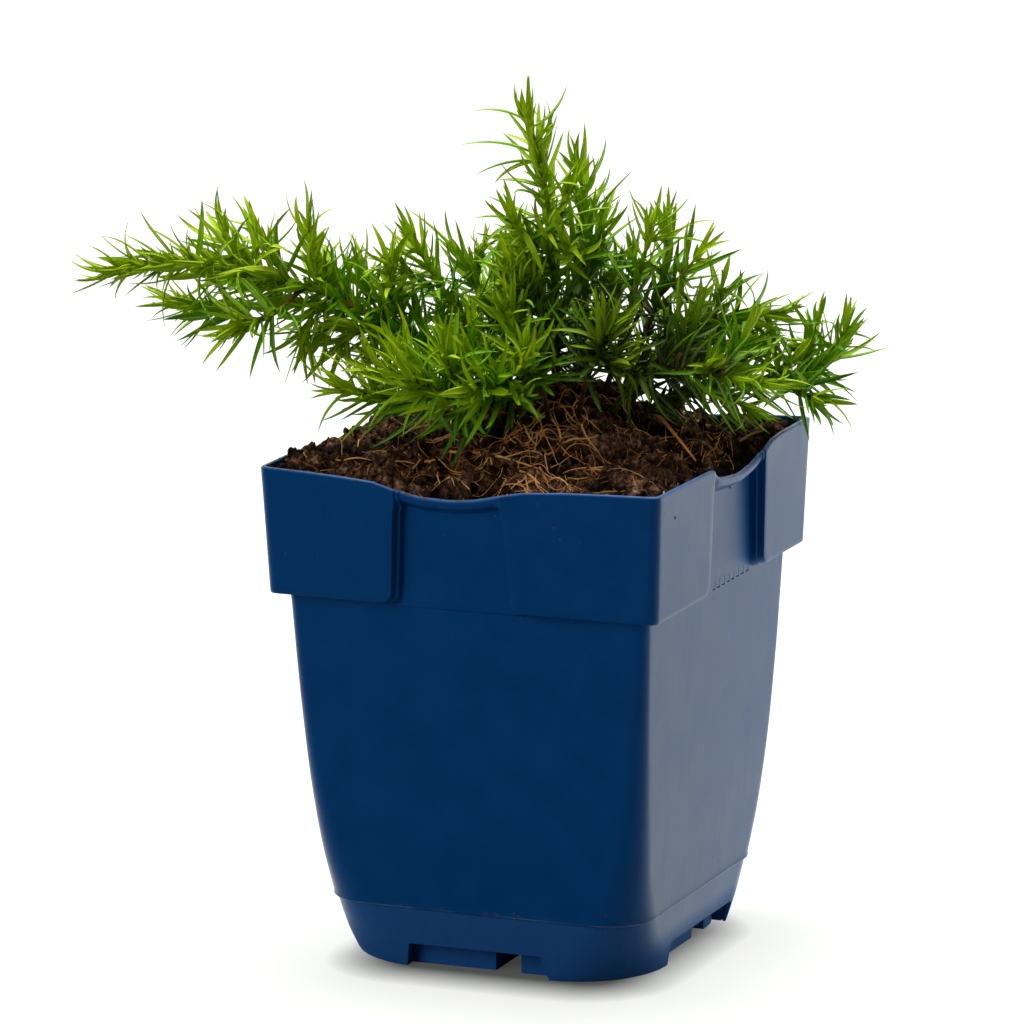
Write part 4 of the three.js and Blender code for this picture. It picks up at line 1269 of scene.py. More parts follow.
class LeafyShoots:
    """Every shoot of the plant, as one mesh for each, grown by Geometry Nodes from seats and stems."""

    SIZES = {"Leaf sides": 5, "Leaf steps": 8, "Stem sides": 8, "Keel depth": 0.26, "Groove depth": 0.16}
    PLANT_SEED = 20417
    FINE_SEED = 7

    def __init__(self, ground: Ground) -> None:
        """Keeps the ground that the shoots stand in.

        Args:
            ground: The soil and the rim.
        """
        self.ground = ground
        self.rule = Rule()
        self.fullness = Fullness(self.rule, ground)
        self.leaf = Leaf().make()
        self.stem = Stem().make()
        self.growth = self._make_tree()

    def _make_tree(self) -> Growth:
        """The tree that turns seats into leaves and edges into stems."""
        growth = Growth("leafy_shoot")
        around, along, stem_around = (
            growth.ask(name, "Int") for name in ("Leaf sides", "Leaf steps", "Stem sides"))
        keel, groove = growth.ask("Keel depth"), growth.ask("Groove depth")
        seeds = growth.source
        blade = growth.add(
            "GeometryNodeMeshCylinder", {"fill_type": "NGON"},
            {"Vertices": around, "Side Segments": along, "Radius": 1, "Depth": 1}, "Mesh")
        local = growth.add("GeometryNodeInputPosition")
        blade = growth.store(blade, "along", local.axis("Z") + 0.5)
        for name, axis in (("across", "Y"), ("lift", "X")):
            blade = growth.store(blade, name, local.axis(axis))
        leaves = growth.put(blade, Points=seeds, Selection=growth.named("seat", "BOOLEAN"))
        u, across, lift, length, width, curl, sway = (
            growth.named(name) for name in "along across lift length width curl sway".split())
        forward, inward = (growth.named(name, "FLOAT_VECTOR") for name in ("forward", "inward"))
        sideways = inward.vector("CROSS_PRODUCT", forward)
        swell = (u * 1.6 + 0.62).least(1) * (1 - u**3.4)
        angle = ((curl * curl + sway * sway) ** 0.5) * 2 + 0.001
        bent = 1 - (angle * u).alone("COSINE")
        ahead = (angle * u).alone("SINE") / angle
        turned = inward.scaled(curl).vector("ADD", sideways.scaled(sway))
        middle = growth.named("base", "FLOAT_VECTOR")
        middle = middle.vector("ADD", forward.scaled(length * ahead))
        middle = middle.vector("ADD", turned.scaled(length * 2 * bent / (angle * angle)))
        middle = middle.vector("ADD", inward.scaled(length * (growth.named("tint") - 0.45) * u**3 * 0.5))
        aside = sideways.scaled(across * width * swell * -0.44)
        edge = across.alone("ABSOLUTE")
        upper = lift.most(0) * groove * (edge - 0.25)
        lower = lift.least(0) * keel
        height = inward.scaled((upper + lower) * width * swell)
        place = middle.vector("ADD", aside).vector("ADD", height)
        leaves = growth.add("GeometryNodeSetPosition", None, {"Geometry": leaves, "Position": place})
        ends = {"Geometry": leaves, "Selection": u.above(0.999), "Distance": 0.000001}
        leaves = growth.add("GeometryNodeMergeByDistance", None, ends)
        stems = growth.tube(seeds, stem_around)
        growth.close(growth.join(growth.end(leaves, self.leaf), growth.end(stems, self.stem)))
        return growth

    def plan(self) -> dict[str, tuple[list[Twig], list[Needle]]]:
        """Grows the whole plant by the source's rule, then adds the finer growth.

        Returns:
            The twigs and leaves of each shoot.
        """
        room = Room()
        rolls = Dice(self.PLANT_SEED)
        dice.seed(self.FINE_SEED)
        plants: dict[str, list[Twig]] = {}
        for shoot in SHOOTS:
            main = Twig(Route(shoot.route), shoot.radius, shoot.bare, shoot.pairs, shoot.length)
            twigs = [main]
            for side in shoot.sides:
                route = Route((main.route.at(side.at), *side.route))
                twigs.append(Twig(route, shoot.radius * 0.6, 0.25, side.pairs, side.length))
            plants[shoot.name] = twigs
            for twig in twigs:
                t = 0.0
                while t <= 1.001:
                    room.add(twig.route.at(t), twig.thickness(t), shoot.name, False)
                    t += 0.02
        grown = {}
        for name, twigs in plants.items():
            leaves = [leaf for twig in twigs for leaf in self.rule.grow(twig, rolls, room, self.ground, name)]
            grown[name] = (twigs, leaves)
        for name, (twigs, leaves) in grown.items():
            gap, wide = GAPS.get(name, 1), WIDE.get(name, 0)
            sprigs = self.fullness.sprigs(twigs[0], gap)
            sprigs += self.fullness.placed_twigs(name, twigs[0])
            for twig in [*twigs, *sprigs]:
                leaves.extend(self.fullness.more_leaves(twig, max(gap, 0.6), wide))
            leaves.extend(self.fullness.arched_leaves(name))
            twigs.extend(sprigs)
        return grown

    def seed(self, name: str, twigs: Sequence[Twig], leaves: Sequence[Needle]) -> Piece:
        """The mesh that the tree starts from: a loose point for each leaf, an edge line for each stem.

        Args:
            name: The piece's name.
            twigs: Its stems.
            leaves: Its leaves.

        Returns:
            The seed object, in metres, with its attributes.
        """
        points = [leaf.base * MM for leaf in leaves]
        thick = [0] * len(leaves)
        age = [leaf.age for leaf in leaves]
        edges = []
        for twig in twigs:
            steps = max(6, twig.pairs * 2)
            for step in range(steps + 1):
                t = step / steps
                if step:
                    edges.append((len(points) - 1, len(points)))
                points.append(twig.route.at(t) * MM)
                slim = 0.6 + 0.25 * max(0, 1 - t * 5)
                thick.append(twig.thickness(t) * slim * MM * (1 + 0.12 * sin(step * 2.1)))
                age.append(min(1, t + twig.youth))
        seed = make_piece(name, np.array(points), (), edges)
        spare = len(points) - len(leaves)
        carry(seed, "seat", [True] * len(leaves) + [False] * spare, "BOOLEAN")
        carry(seed, "thick", thick)
        carry(seed, "age", age)
        for key, scale in (("tint", 1), ("length", MM), ("width", MM), ("curl", 1), ("sway", 1)):
            rest = [0.5 if key == "tint" else 0] * spare
            carry(seed, key, [getattr(leaf, key) * scale for leaf in leaves] + rest)
        carry(seed, "base", points, "FLOAT_VECTOR")
        for key in ("forward", "inward"):
            values = [getattr(leaf, key) for leaf in leaves] + [np.zeros(3)] * spare
            carry(seed, key, values, "FLOAT_VECTOR")
        return seed

    def build(self) -> list[Piece]:
        """Makes every shoot, ties it to the frame and hides the CAD node that it stands for."""
        pieces = []
        for name, (twigs, leaves) in self.plan().items():
            piece = self.growth.grow(self.seed(f"leafy_shoot_{name}", twigs, leaves), self.SIZES)
            settle(piece, 50, (f"shoot_{name}",))
            pieces.append(piece)
        return pieces


# The pot


def ease(x: float) -> float:
    """0 to 1 with soft ends."""
    x = min(1, max(0, x))
    return x * x * (3 - 2 * x)


def combine(piece: Piece, tools: Sequence[Piece], operation: str) -> None:
    """Joins a piece with other solids, or cuts them out of it, and removes them.

    Args:
        piece: The closed mesh that is changed.
        tools: The other closed meshes.
        operation: UNION or DIFFERENCE.
    """
    for tool in tools:
        modifier = piece.modifiers.new("cut", "BOOLEAN")
        modifier.operation = operation
        modifier.solver = "MANIFOLD"
        modifier.object = tool
    bake(piece)
    for tool in tools:
        bpy.data.objects.remove(tool)


@dataclass(frozen=True)
class Panel:
    """A recessed panel in the band: its left and right edge below and above, and the rim's scoop over it."""

    bottom: Pair
    top: Pair
    scoop: Pairs
    notch_bottom: Pair
    notch_top: Pair

    LOW = 78.3
    TALL = 33.5
    BENDS = (-1.2, -0.6, 0, 0.6, 1.2)

    def edge(self, side: int, height: float) -> float:
        """The place of its left (0) or right (1) edge at a height."""
        share = (height - self.LOW) / self.TALL
        return self.bottom[side] + (self.top[side] - self.bottom[side]) * share

    def rim(self, s: float) -> float:
        """The height of the rim at a place along the face, rounded at its bends."""
        return sum(float(np.interp(s + bend, *zip(*self.scoop))) for bend in self.BENDS) / len(self.BENDS)


FRONT = Panel(
    (-15.7, 12.2), (-14.1, 9.4),
    ((-44, 108.8), (-31, 108.3), (-19, 107.5), (-14.3, 106), (-8.6, 104.8), (-1.8, 104.6),
     (3.9, 105.1), (10.7, 106.7), (14, 107.5), (27, 108.4), (44, 108.8)),
    (-17.1, 16.2), (-16.2, 14))
FLANK = Panel(
    (-13.1, 18.8), (-12.5, 17),
    ((-44, 108.8), (-30, 108.6), (-14, 108.4), (-11, 107.7), (-9, 105.9), (-3, 104.9), (4, 104.3),
     (10.8, 104.9), (14.2, 105.6), (17, 106.6), (19.5, 107.8), (23.3, 108.6), (30, 108.8), (44, 108.8)),
    (-15.5, 22.3), (-14.5, 21.2))


def panel_of(face: int) -> Panel:
    """The panel of a face, which faces 0 and 2 share, and 1 and 3."""
    return FLANK if face % 2 else FRONT


def on_face(face: int, s: float, out: float, z: float) -> Triple:
    """The place that is s along a face and so far out from the middle, in millimetres."""
    turn = face * 90 * TURN
    return s * cos(turn) + out * sin(turn), s * sin(turn) - out * cos(turn), z


@dataclass(frozen=True)
class Column:
    """One upright line of the pot's surface: its face, its place along it and how deep in the panel it is."""

    face: int
    zone: str
    share: float
    depth: float = 0.0


@dataclass(frozen=True)
class Row:
    """One line round the pot: height, half width and corner radius, and height and half width in a panel.

    Heights are above the ground, or in the band below the rim's edge where "hung" says so.
    """

    height: float
    half: float
    radius: float
    panel_height: float | None = None
    panel_half: float | None = None
    hung: bool = False
    band: bool = False


@dataclass
class NurseryPot:
    """The square tapered pot with its band of corner blocks, flared lips, foot ledge and feet."""

    rim: float = 108.8
    wall: float = 1.0
    floor: float = 6.4
    hollow: float = 5.2
    block_bottom: float = 81.3
    block_low: float = 44.15
    block_top: float = 45.35
    block_radius: float = 2.0
    lip_reach: float = 44.75
    block_round: float = 2.5
    plinth: Pair = (31.6, 15)
    skirt: Pairs = ((34, 18.5), (34.6, 14.5))
    foot: Pairs = ((34.72, 19.2), (35.6, 15.5))
    jamb_inside: float = 29.4
    rib: float = 1.2
    channels: tuple[float, float, float, float, float] = (2.25, 8.1, 7.3, 14.5, 10)
    past: float = 50.0
    drain: float = 2.2
    drains: Pairs = ((5.2, -20), (-5.2, 20), (22, 10.9), (-22, -10.9))
    body: Triples = (
        (13.6, 36.6, 10.4), (23, 37.4, 7), (36, 38.5, 4.9), (56, 39.7, 3.1), (80.1, 40.9, 2.2))
    flat_start: float = 0.32
    flat_top: float = 104.6 - 3.9
    panel_start: float = 80.8
    panel_half: Pair = (41.4, 0.3)
    edge_reach: float = 0.8
    edge_margin: float = 1.3
    step: Pairs = (
        (-0.55, 0), (-0.18, 0.02), (0, 0.1), (0.05, 0.42), (0.15, 0.5), (0.8, 0.5), (0.95, 0.55),
        (1, 0.9), (1.15, 1))
    rib_count: int = 8
    rib_first: Triple = (41.02, -3, 81.15)
    rib_step: Triple = (0, 2.8, 0)
    rib_size: Triple = (0.45, 0.62, 1.05)
    corner_steps: int = 9
    panel_steps: int = 22

    def columns(self) -> list[Column]:
        """The upright lines, once round the pot."""
        lines = [("left", share) for share in (0, 0.04, 0.3, 0.6, 0.85, 0.96)]
        lines += [("left edge", *step) for step in self.step]
        lines += [("panel", k / (self.panel_steps + 1), 1) for k in range(1, self.panel_steps + 1)]
        lines += [("right edge", *step) for step in reversed(self.step)]
        lines += [("right", share) for share in (0.04, 0.15, 0.4, 0.7, 0.96, 1)]
        lines += [("corner", k / self.corner_steps) for k in range(1, self.corner_steps)]
        return [Column(face, *line) for face in range(4) for line in lines]

    def body_rows(self) -> list[Row]:
        """The body from the foot to the band, rounded between its measured levels."""
        rows = [Row(*level) for level in (
            (0, 34.72, 19.2), (0.1, 34.92, 19.4), (0.4, 35.03, 19.2), (1.4, 35.13, 18.3), (2.8, 35.3, 17.2),
            (4, 35.45, 16.3), (5.2, 35.6, 15.5), (7.6, 35.8, 13.9), (10.4, 36.02, 12.2), (12.7, 36.18, 10.9),
            (13.05, 36.2, 10.6), (13.16, 36.3, 10.5), (13.28, 36.62, 10.5), (13.42, 36.74, 10.45),
            (13.62, 36.76, 10.4), (13.9, 36.68, 10.3))]
        heights, *others = (np.array(values) for values in zip(*self.body))
        for height in (14.6, 16, 18, 20.5, 23, 26, 29, 32, 36, 40, 44.5, 49, 54, 59, 64, 69, 73.5, 77, 79.2):
            rows.append(Row(height, *(self._curve(heights, values, height) for values in others)))
        return rows

    @staticmethod
    def _curve(places: Array, values: Array, place: float) -> float:
        """A smooth curve through measured values.

        Args:
            places: Where the values were measured.
            values: The values.
            place: Where a value is wanted.

        Returns:
            The value.
        """
        slopes = np.gradient(values, places)
        index = min(len(places) - 2, max(0, int(np.searchsorted(places, place)) - 1))
        span = places[index + 1] - places[index]
        t = (place - places[index]) / span
        a, b = values[index], values[index + 1]
        m, n = slopes[index] * span, slopes[index + 1] * span
        start = (2 * t**3 - 3 * t * t + 1) * a + (t**3 - 2 * t * t + t) * m
        return float(start + (3 * t * t - 2 * t**3) * b + (t**3 - t * t) * n)

    def band_rows(self) -> list[Row]:
        """The band: its underside, its flat part and the flared lip that follows the rim's edge."""
        r = self.block_radius
        low = self.block_bottom
        rows = [Row(low - 0.6, 40.95, r, 79.9, 40.91)]
        for more, half, panel_height, panel in (
            (-0.15, 40.98, 80.2, 40.93), (0, 41.15, 80.3, 41.05), (0, 42.2, 80.4, 41.25),
            (0, self.block_low - 0.4, 80.5, 41.36), (0.09, self.block_low - 0.12, 80.62, 41.41),
            (0.3, self.block_low, 80.8, 41.42),
        ):
            rows.append(Row(low + more, half, r, panel_height, panel, band=True))
        for share in (0.05, 0.1, 0.16, 0.24, 0.36, 0.5, 0.65, 0.8, 0.92, 1):
            height = low + self.flat_start + (self.flat_top - low - self.flat_start) * share
            half = self.block_low + (self.block_top - self.block_low) * (height - low) / (self.rim - low)
            panel_height = self.panel_start + (self.flat_top - self.panel_start) * share
            panel = self.panel_half[0] + self.panel_half[1] * share
            rows.append(Row(height, half, r, panel_height, panel, band=True))
        for below, block, lip in (
            (3.45, 0.15, 3.07), (3.2, 0.14, 2.9), (2.9, 0.12, 2.25), (2.3, 0.09, 0.95), (1.9, 0.07, 0.45),
            (1.6, 0.06, 0.2), (1.1, 0.04, 0.03), (0.7, 0.01, 0), (0.38, 0.02, 0.1), (0.16, 0.12, 0.28),
            (0.04, 0.32, 0.5), (0, 0.6, 0.72), (0.06, 0.86, 0.92), (0.3, 0.99, 1.02),
        ):
            rows.append(Row(below, self.block_top - block, r, below, self.lip_reach - lip, True, True))
        return rows

    def inner_rows(self) -> list[Row]:
        """The inside, from the rim down to the floor."""
        wall = self.wall
        rows = []
        for row in reversed(self.band_rows()[8:-5]):
            half, panel_half = row.half - wall, row.panel_half - wall
            radius = max(0.6, row.radius - wall)
            rows.append(Row(row.height, half, radius, row.panel_height, panel_half, row.hung, True))
        rows.append(Row(self.block_bottom + wall, self.block_low - wall, 1.2, 82, 40.4, band=True))
        rows.append(Row(self.block_bottom + wall, 39.98, 1.2, 81.4, 40, band=True))
        for row in reversed(self.body_rows()[7:]):
            if row.height < 12 or 14 < row.height:
                rows.append(Row(row.height, row.half - wall, max(0.6, row.radius - wall)))
        rows.append(Row(self.floor, 34.8, 14))
        return rows

    def point(self, row: Row, column: Column) -> Triple:
        """The place where a row and a column meet, in millimetres.

        Args:
            row: The line round the pot.
            column: The upright line.

        Returns:
            The point.
        """
        panel = panel_of(column.face)
        half, height = row.half, row.height
        if row.panel_height is not None:
            half += (row.panel_half - half) * column.depth
            height += (row.panel_height - height) * column.depth
        if column.zone == "corner":
            angle = column.share * 90 * TURN
            s = row.half - row.radius + row.radius * sin(angle)
            half = row.half - row.radius + row.radius * cos(angle)
        else:
            s = self._along(row, column, panel)
        if row.hung:
            height = (self.rim if column.zone == "corner" else panel.rim(s)) - height
        return on_face(column.face, s, half, height)

    def _along(self, row: Row, column: Column, panel: Panel) -> float:
        """The place along its face of a column at a row.

        Args:
            row: The line round the pot.
            column: The upright line.
            panel: The face's panel.

        Returns:
            The place.
        """
        flat = row.half - row.radius
        height = self.rim if row.hung else max(row.height, 80.4)
        left, right = panel.edge(0, height), panel.edge(1, height)
        rounded = 0.0
        if row.band and not row.hung:
            over = max(0, row.height - self.block_bottom)
            if over < self.block_round:
                gap = self.block_round - over
                rounded = self.block_round - sqrt(max(0, self.block_round**2 - gap**2))
        scale = 1.0 if row.band else flat / (self.body[-1][1] - self.body[-1][2])
        left, right = (left - rounded) * scale, (right + rounded) * scale
        margin, reach = self.edge_margin * scale, self.edge_reach * scale
        if column.zone == "left":
            return -flat + (left - reach + flat) * column.share
        if column.zone == "left edge":
            return left + column.share * scale
        if column.zone == "panel":
            return left + margin + (right - left - 2 * margin) * column.share
        if column.zone == "right edge":
            return right - column.share * scale
        return right + reach + (flat - right - reach) * column.share

    def shell(self) -> Piece:
        """The pot's outside and inside as one closed surface, still solid under its floor."""
        columns = self.columns()
        rows = [*self.body_rows(), *self.band_rows(), *self.inner_rows()]
        return stacked("square_pot", [[self.point(row, column) for column in columns] for row in rows])

    @staticmethod
    def rounded_block(name: str, levels: Sequence[Triple]) -> Piece:
        """A closed block with a rounded square outline at each level.

        Args:
            name: The object's name.
            levels: Height, half width and corner radius of each.

        Returns:
            The block.
        """
        steps = 9
        rings = []
        for height, half, radius in levels:
            ring = []
            for sx, sy, corner in ((1, 1, 0), (-1, 1, 1), (-1, -1, 2), (1, -1, 3)):
                for k in range(steps + 1):
                    angle = (corner * 90 + 90 * k / steps) * TURN
                    ring.append((sx * (half - radius) + radius * cos(angle),
                                 sy * (half - radius) + radius * sin(angle), height))
            rings.append(ring)
        return stacked(name, rings)

    @staticmethod
    def prism(name: str, outline: Sequence[Pair], low: float, high: float) -> Piece:
        """A closed upright prism over an outline that runs anticlockwise."""
        return stacked(name, [[(x, y, z) for x, y in outline] for z in (low, high)])

    def rectangle(self, x0: float, x1: float, y0: float, y1: float, low: float, high: float) -> Piece:
        """A closed box."""
        return self.prism("block", ((x0, y0), (x1, y0), (x1, y1), (x0, y1)), low, high)

    def feet(self, by: float, low: float, high: float) -> Piece:
        """The four foot blocks of the underside, taken in by the amount given.

        Args:
            by: That amount.
            low: Their underside.
            high: Their top.

        Returns:
            The blocks.
        """
        half, radius = self.plinth
        blocks = self.rounded_block("feet", ((low, half - by, radius - by), (high, half - by, radius - by)))
        a0, a1, b0, b1, end = self.channels
        a0, a1, b0, b1, end = a0 - by, a1 + by, b0 - by, b1 + by, end + by
        cuts = []
        for x0, x1, y0, y1 in ((a0, a1, -self.past, end), (a0, self.past, b0, b1)):
            cuts.append(self.rectangle(x0, x1, y0, y1, low - 1, high + 1))
            cuts.append(self.rectangle(-x1, -x0, -y1, -y0, low - 1, high + 1))
        combine(blocks, cuts, "DIFFERENCE")
        return blocks

    def arch(self, face: int) -> Piece:
        """The opening between two feet in the skirt of a face.

        Args:
            face: The face.

        Returns:
            What is cut out there.
        """
        (b0, b1), (t0, t1) = panel_of(face).notch_bottom, panel_of(face).notch_top
        corners = ((b0, -1), (b1, -1), (t1, self.hollow), (t0, self.hollow))
        outs = (self.plinth[0] + 1, self.past + 10)
        return stacked("arch", [[on_face(face, s, out, z) for s, z in corners] for out in outs])

    @staticmethod
    def skin(s: float, half: float, radius: float) -> float:
        """How far out a rounded square's outline is at a place along its side."""
        over = max(0, abs(s) - half + radius)
        return half - radius + sqrt(radius**2 - over**2)

    def jamb(self, face: int, side: int) -> Piece:
        """The upright wall between a foot and the skirt at the left (0) or right (1) end of a face's arch.

        Args:
            face: The face.
            side: The end.

        Returns:
            The wall.
        """
        edge = panel_of(face).notch_bottom[side]
        ends = sorted((edge, edge + (self.rib if side else -self.rib)))
        reach = max(ends, key=abs)
        outs = [(self.skin(reach, *inner) + self.skin(reach, *outer)) / 2
                for inner, outer in zip(self.skirt, self.foot)]
        rings = []
        for z, out in zip((0, self.hollow + 0.3), outs):
            corners = ((0, out), (1, out), (1, self.jamb_inside), (0, self.jamb_inside))
            rings.append([on_face(face, ends[end], depth, z) for end, depth in corners])
        return stacked("jamb", rings)

    def ribs(self, plastic: Finish) -> Piece:
        """The row of short moulded ribs at the foot of the flank's panel.

        Args:
            plastic: The pot's material.

        Returns:
            The ribs.
        """
        growth = Growth("rib_row")
        count = growth.ask("Ribs", "Int")
        first, step, size = (growth.ask(name, "Vector") for name in ("First place", "Step", "Rib size"))
        places = {"Count": count, "Start Location": first, "Offset": step}
        row = growth.add("GeometryNodeMeshLine", {"mode": "OFFSET"}, places)
        bar = growth.add(
            "GeometryNodeMeshCylinder", None, {"Vertices": 12, "Radius": 1, "Depth": 2}, "Mesh")
        growth.close(growth.end(growth.put(bar, Points=row, Scale=size), plastic))
        ribs = make_piece("flank_ribs")
        growth.grow(ribs, {
            "Ribs": self.rib_count, "First place": Vector(self.rib_first) * MM,
            "Step": Vector(self.rib_step) * MM, "Rib size": Vector(self.rib_size) * MM,
        })
        settle(ribs, 40)
        return ribs

    def build(self) -> Piece:
        """The finished pot, open below between its feet."""
        pot = self.shell()
        skirt = self.rounded_block("skirt", ((-1, *self.skirt[0]), (self.hollow, *self.skirt[1])))
        a0, end = self.channels[0], self.channels[4]
        cells = self.feet(self.rib, -2, self.hollow + 1)
        combine(cells, (self.rectangle(-a0, a0, -end, end, 0, self.hollow + 1),), "DIFFERENCE")
        ribs = self.feet(0, 0, self.hollow + 0.3)
        combine(ribs, (cells,), "DIFFERENCE")
        combine(pot, (skirt, *(self.arch(face) for face in range(4))), "DIFFERENCE")
        combine(pot, (ribs, *(self.jamb(face, side) for face in range(4) for side in range(2))), "UNION")
        holes = []
        for x, y in self.drains:
            turns = [k * TURN * 15 for k in range(24)]
            ring = [(x + self.drain * cos(turn), y + self.drain * sin(turn)) for turn in turns]
            holes.append(self.prism("drain", ring, 1, 9))
        combine(pot, holes, "DIFFERENCE")
        pot.data.materials.clear()
        plastic = PotPlastic().make()
        pot.data.materials.append(plastic)
        settle(pot, 35, ("pot",))
        self.ribs(plastic)
        return pot


# The soil and what lies on it


@dataclass
class PeatBed:
    """The soil: a crumbly surface that rises in a mound round the stems and meets the pot's wall."""

    ground: Ground = field(default_factory=Ground)
    cells: int = 232
    reach: float = 44.5
    crumble: Pairs = ((9, 1.9), (4.4, 2.1), (2.2, 1.7), (1.1, 1.1))
    slope_start: float = 38.0
    slope: float = 1.1
    lump_size: float = 3.0
    lump_height: float = 1.1
    dips: tuple[tuple[float, ...], ...] = ((1.9, 0.84, 0.12, -12, 26, 6), (1.2, 0.86, 0.1, -16, 16, 5))
    sink: Pair = (0.7, 0.6)
    wall: Four = (43.65, 1.15, 81.3, 27.5)
    lip: Four = (41.1, 2.9, 3.1, 1.5)
    margin: float = 0.9
    sides: Triples = (
        (99, 40.4, 1.4), (80, 39.5, 1.6), (56, 38.4, 2.4), (36, 37.1, 4.2), (23, 36, 6.2),
        (13, 34.9, 9.8), (6.5, 33.4, 14))
    seed: int = 7

    def height(self, x: float, y: float) -> float:
        """The height of the crumbly surface at a place.

        Args:
            x: The place to the right.
            y: The place to the back.

        Returns:
            The height.
        """
        low = self.ground.top(x, y)
        for size, depth in self.crumble:
            low += depth * noise.noise(Vector((x / size, y / size, size * 3.7)))
        near, second = noise.voronoi(Vector((x, y, 0)) / self.lump_size)[0][:2]
        low += self.lump_height * min(1, (second - near) * 1.6)
        wall = max(abs(x), abs(y)) / self.reach
        for (depth, start, wide, first, last, soft), out, s in zip(self.dips, (x, -y), (y, x)):
            dip = depth * ease((out / self.reach - start) / wide)
            low -= dip * ease((s - first) / soft) * ease((last - s) / soft)
        low -= self.sink[0] + self.sink[1] * ease((wall - 0.9) / 0.1)
        for face, (s, out) in enumerate(((x, -y), (y, x), (-x, y), (-y, -x))):
            if out > self.slope_start:
                low = min(low, panel_of(face).rim(s) - 0.3 + self.slope * (self.reach - out))
        return low

    def limit(self, face: int, s: float, z: float) -> float:
        """How far out the soil goes at a place along a face: to the middle of the pot's wall.

        Args:
            face: The face.
            s: The place along it.
            z: The height.

        Returns:
            How far.
        """
        panel = panel_of(face)
        half, more, start, tall = self.wall
        block = half + more * (z - start) / tall
        half, more, under, soft = self.lip
        lip = half + more * ease((z - panel.rim(s) + under) / soft)
        inside = ease((s - panel.edge(0, z) + self.margin) / self.margin)
        inside *= ease((panel.edge(1, z) + self.margin - s) / self.margin)
        return block + (lip - block) * inside

    def keep_in(self, x: float, y: float, z: float) -> Triple:
        """A place moved inside the pot's wall."""
        x = max(-self.limit(3, -y, z), min(self.limit(1, y, z), x))
        y = max(-self.limit(0, x, z), min(self.limit(2, -x, z), y))
        return x, y, z

    def build(self) -> Piece:
        """The soil as one closed mesh."""
        n = self.cells
        noise.seed_set(self.seed)
        points, faces, relief = [], [], []
        for j in range(n + 1):
            for i in range(n + 1):
                x = self.reach * (2 * i / n - 1)
                y = self.reach * (2 * j / n - 1)
                sway = noise.noise_vector(Vector((x, y, 40)) / 2.4) * 0.6
                inner = 1 - ease((max(abs(x), abs(y)) / self.reach - 0.93) / 0.07)
                z = self.height(x, y)
                relief.append(z - self.ground.top(x, y))
                x, y = x + sway.x * inner, y + sway.y * inner
                points.append(self.keep_in(x, y, z) if max(abs(x), abs(y)) > 40 else (x, y, z))
        for j in range(n):
            for i in range(n):
                a = j * (n + 1) + i
                faces.append((a, a + 1, a + n + 2, a + n + 1))
        rim = list(range(n + 1)) + [(j + 1) * (n + 1) - 1 for j in range(1, n + 1)]
        rim += [n * (n + 1) + i for i in range(n - 1, -1, -1)] + [j * (n + 1) for j in range(n - 1, 0, -1)]
        shares = [(points[index][0] / self.reach, points[index][1] / self.reach) for index in rim]
        previous = rim
        for height, half, radius in self.sides:
            start = len(points)
            for share_x, share_y in shares:
                points.append((*self.rounded(share_x * half, share_y * half, half, radius), height))
            ring = list(range(start, start + len(rim)))
            for k in range(len(rim)):
                m = (k + 1) % len(rim)
                faces.append((previous[m], previous[k], ring[k], ring[m]))
            previous = ring
        faces.append(tuple(reversed(previous)))
        soil = make_piece("peat_bed", np.array(points) * MM, faces)
        carry(soil, "relief", relief + [0] * (len(points) - len(relief)))
        soil.data.materials.append(Peat().make("peat"))
        settle(soil, 60, ("soil",))
        return soil

    @staticmethod
    def rounded(x: float, y: float, half: float, radius: float) -> Pair:
        """A place on a square moved on to the same square with rounded corners.

        Args:
            x: The place to the right.
            y: The place to the back.
            half: Half the square.
            radius: The corners' radius.

        Returns:
            The place.
        """
        flat = half - radius
        over_x, over_y = abs(x) - flat, abs(y) - flat
        if over_x <= 0 or over_y <= 0:
            return x, y
        scale = max(over_x, over_y) / math.hypot(over_x, over_y)
        return math.copysign(flat + over_x * scale, x), math.copysign(flat + over_y * scale, y)


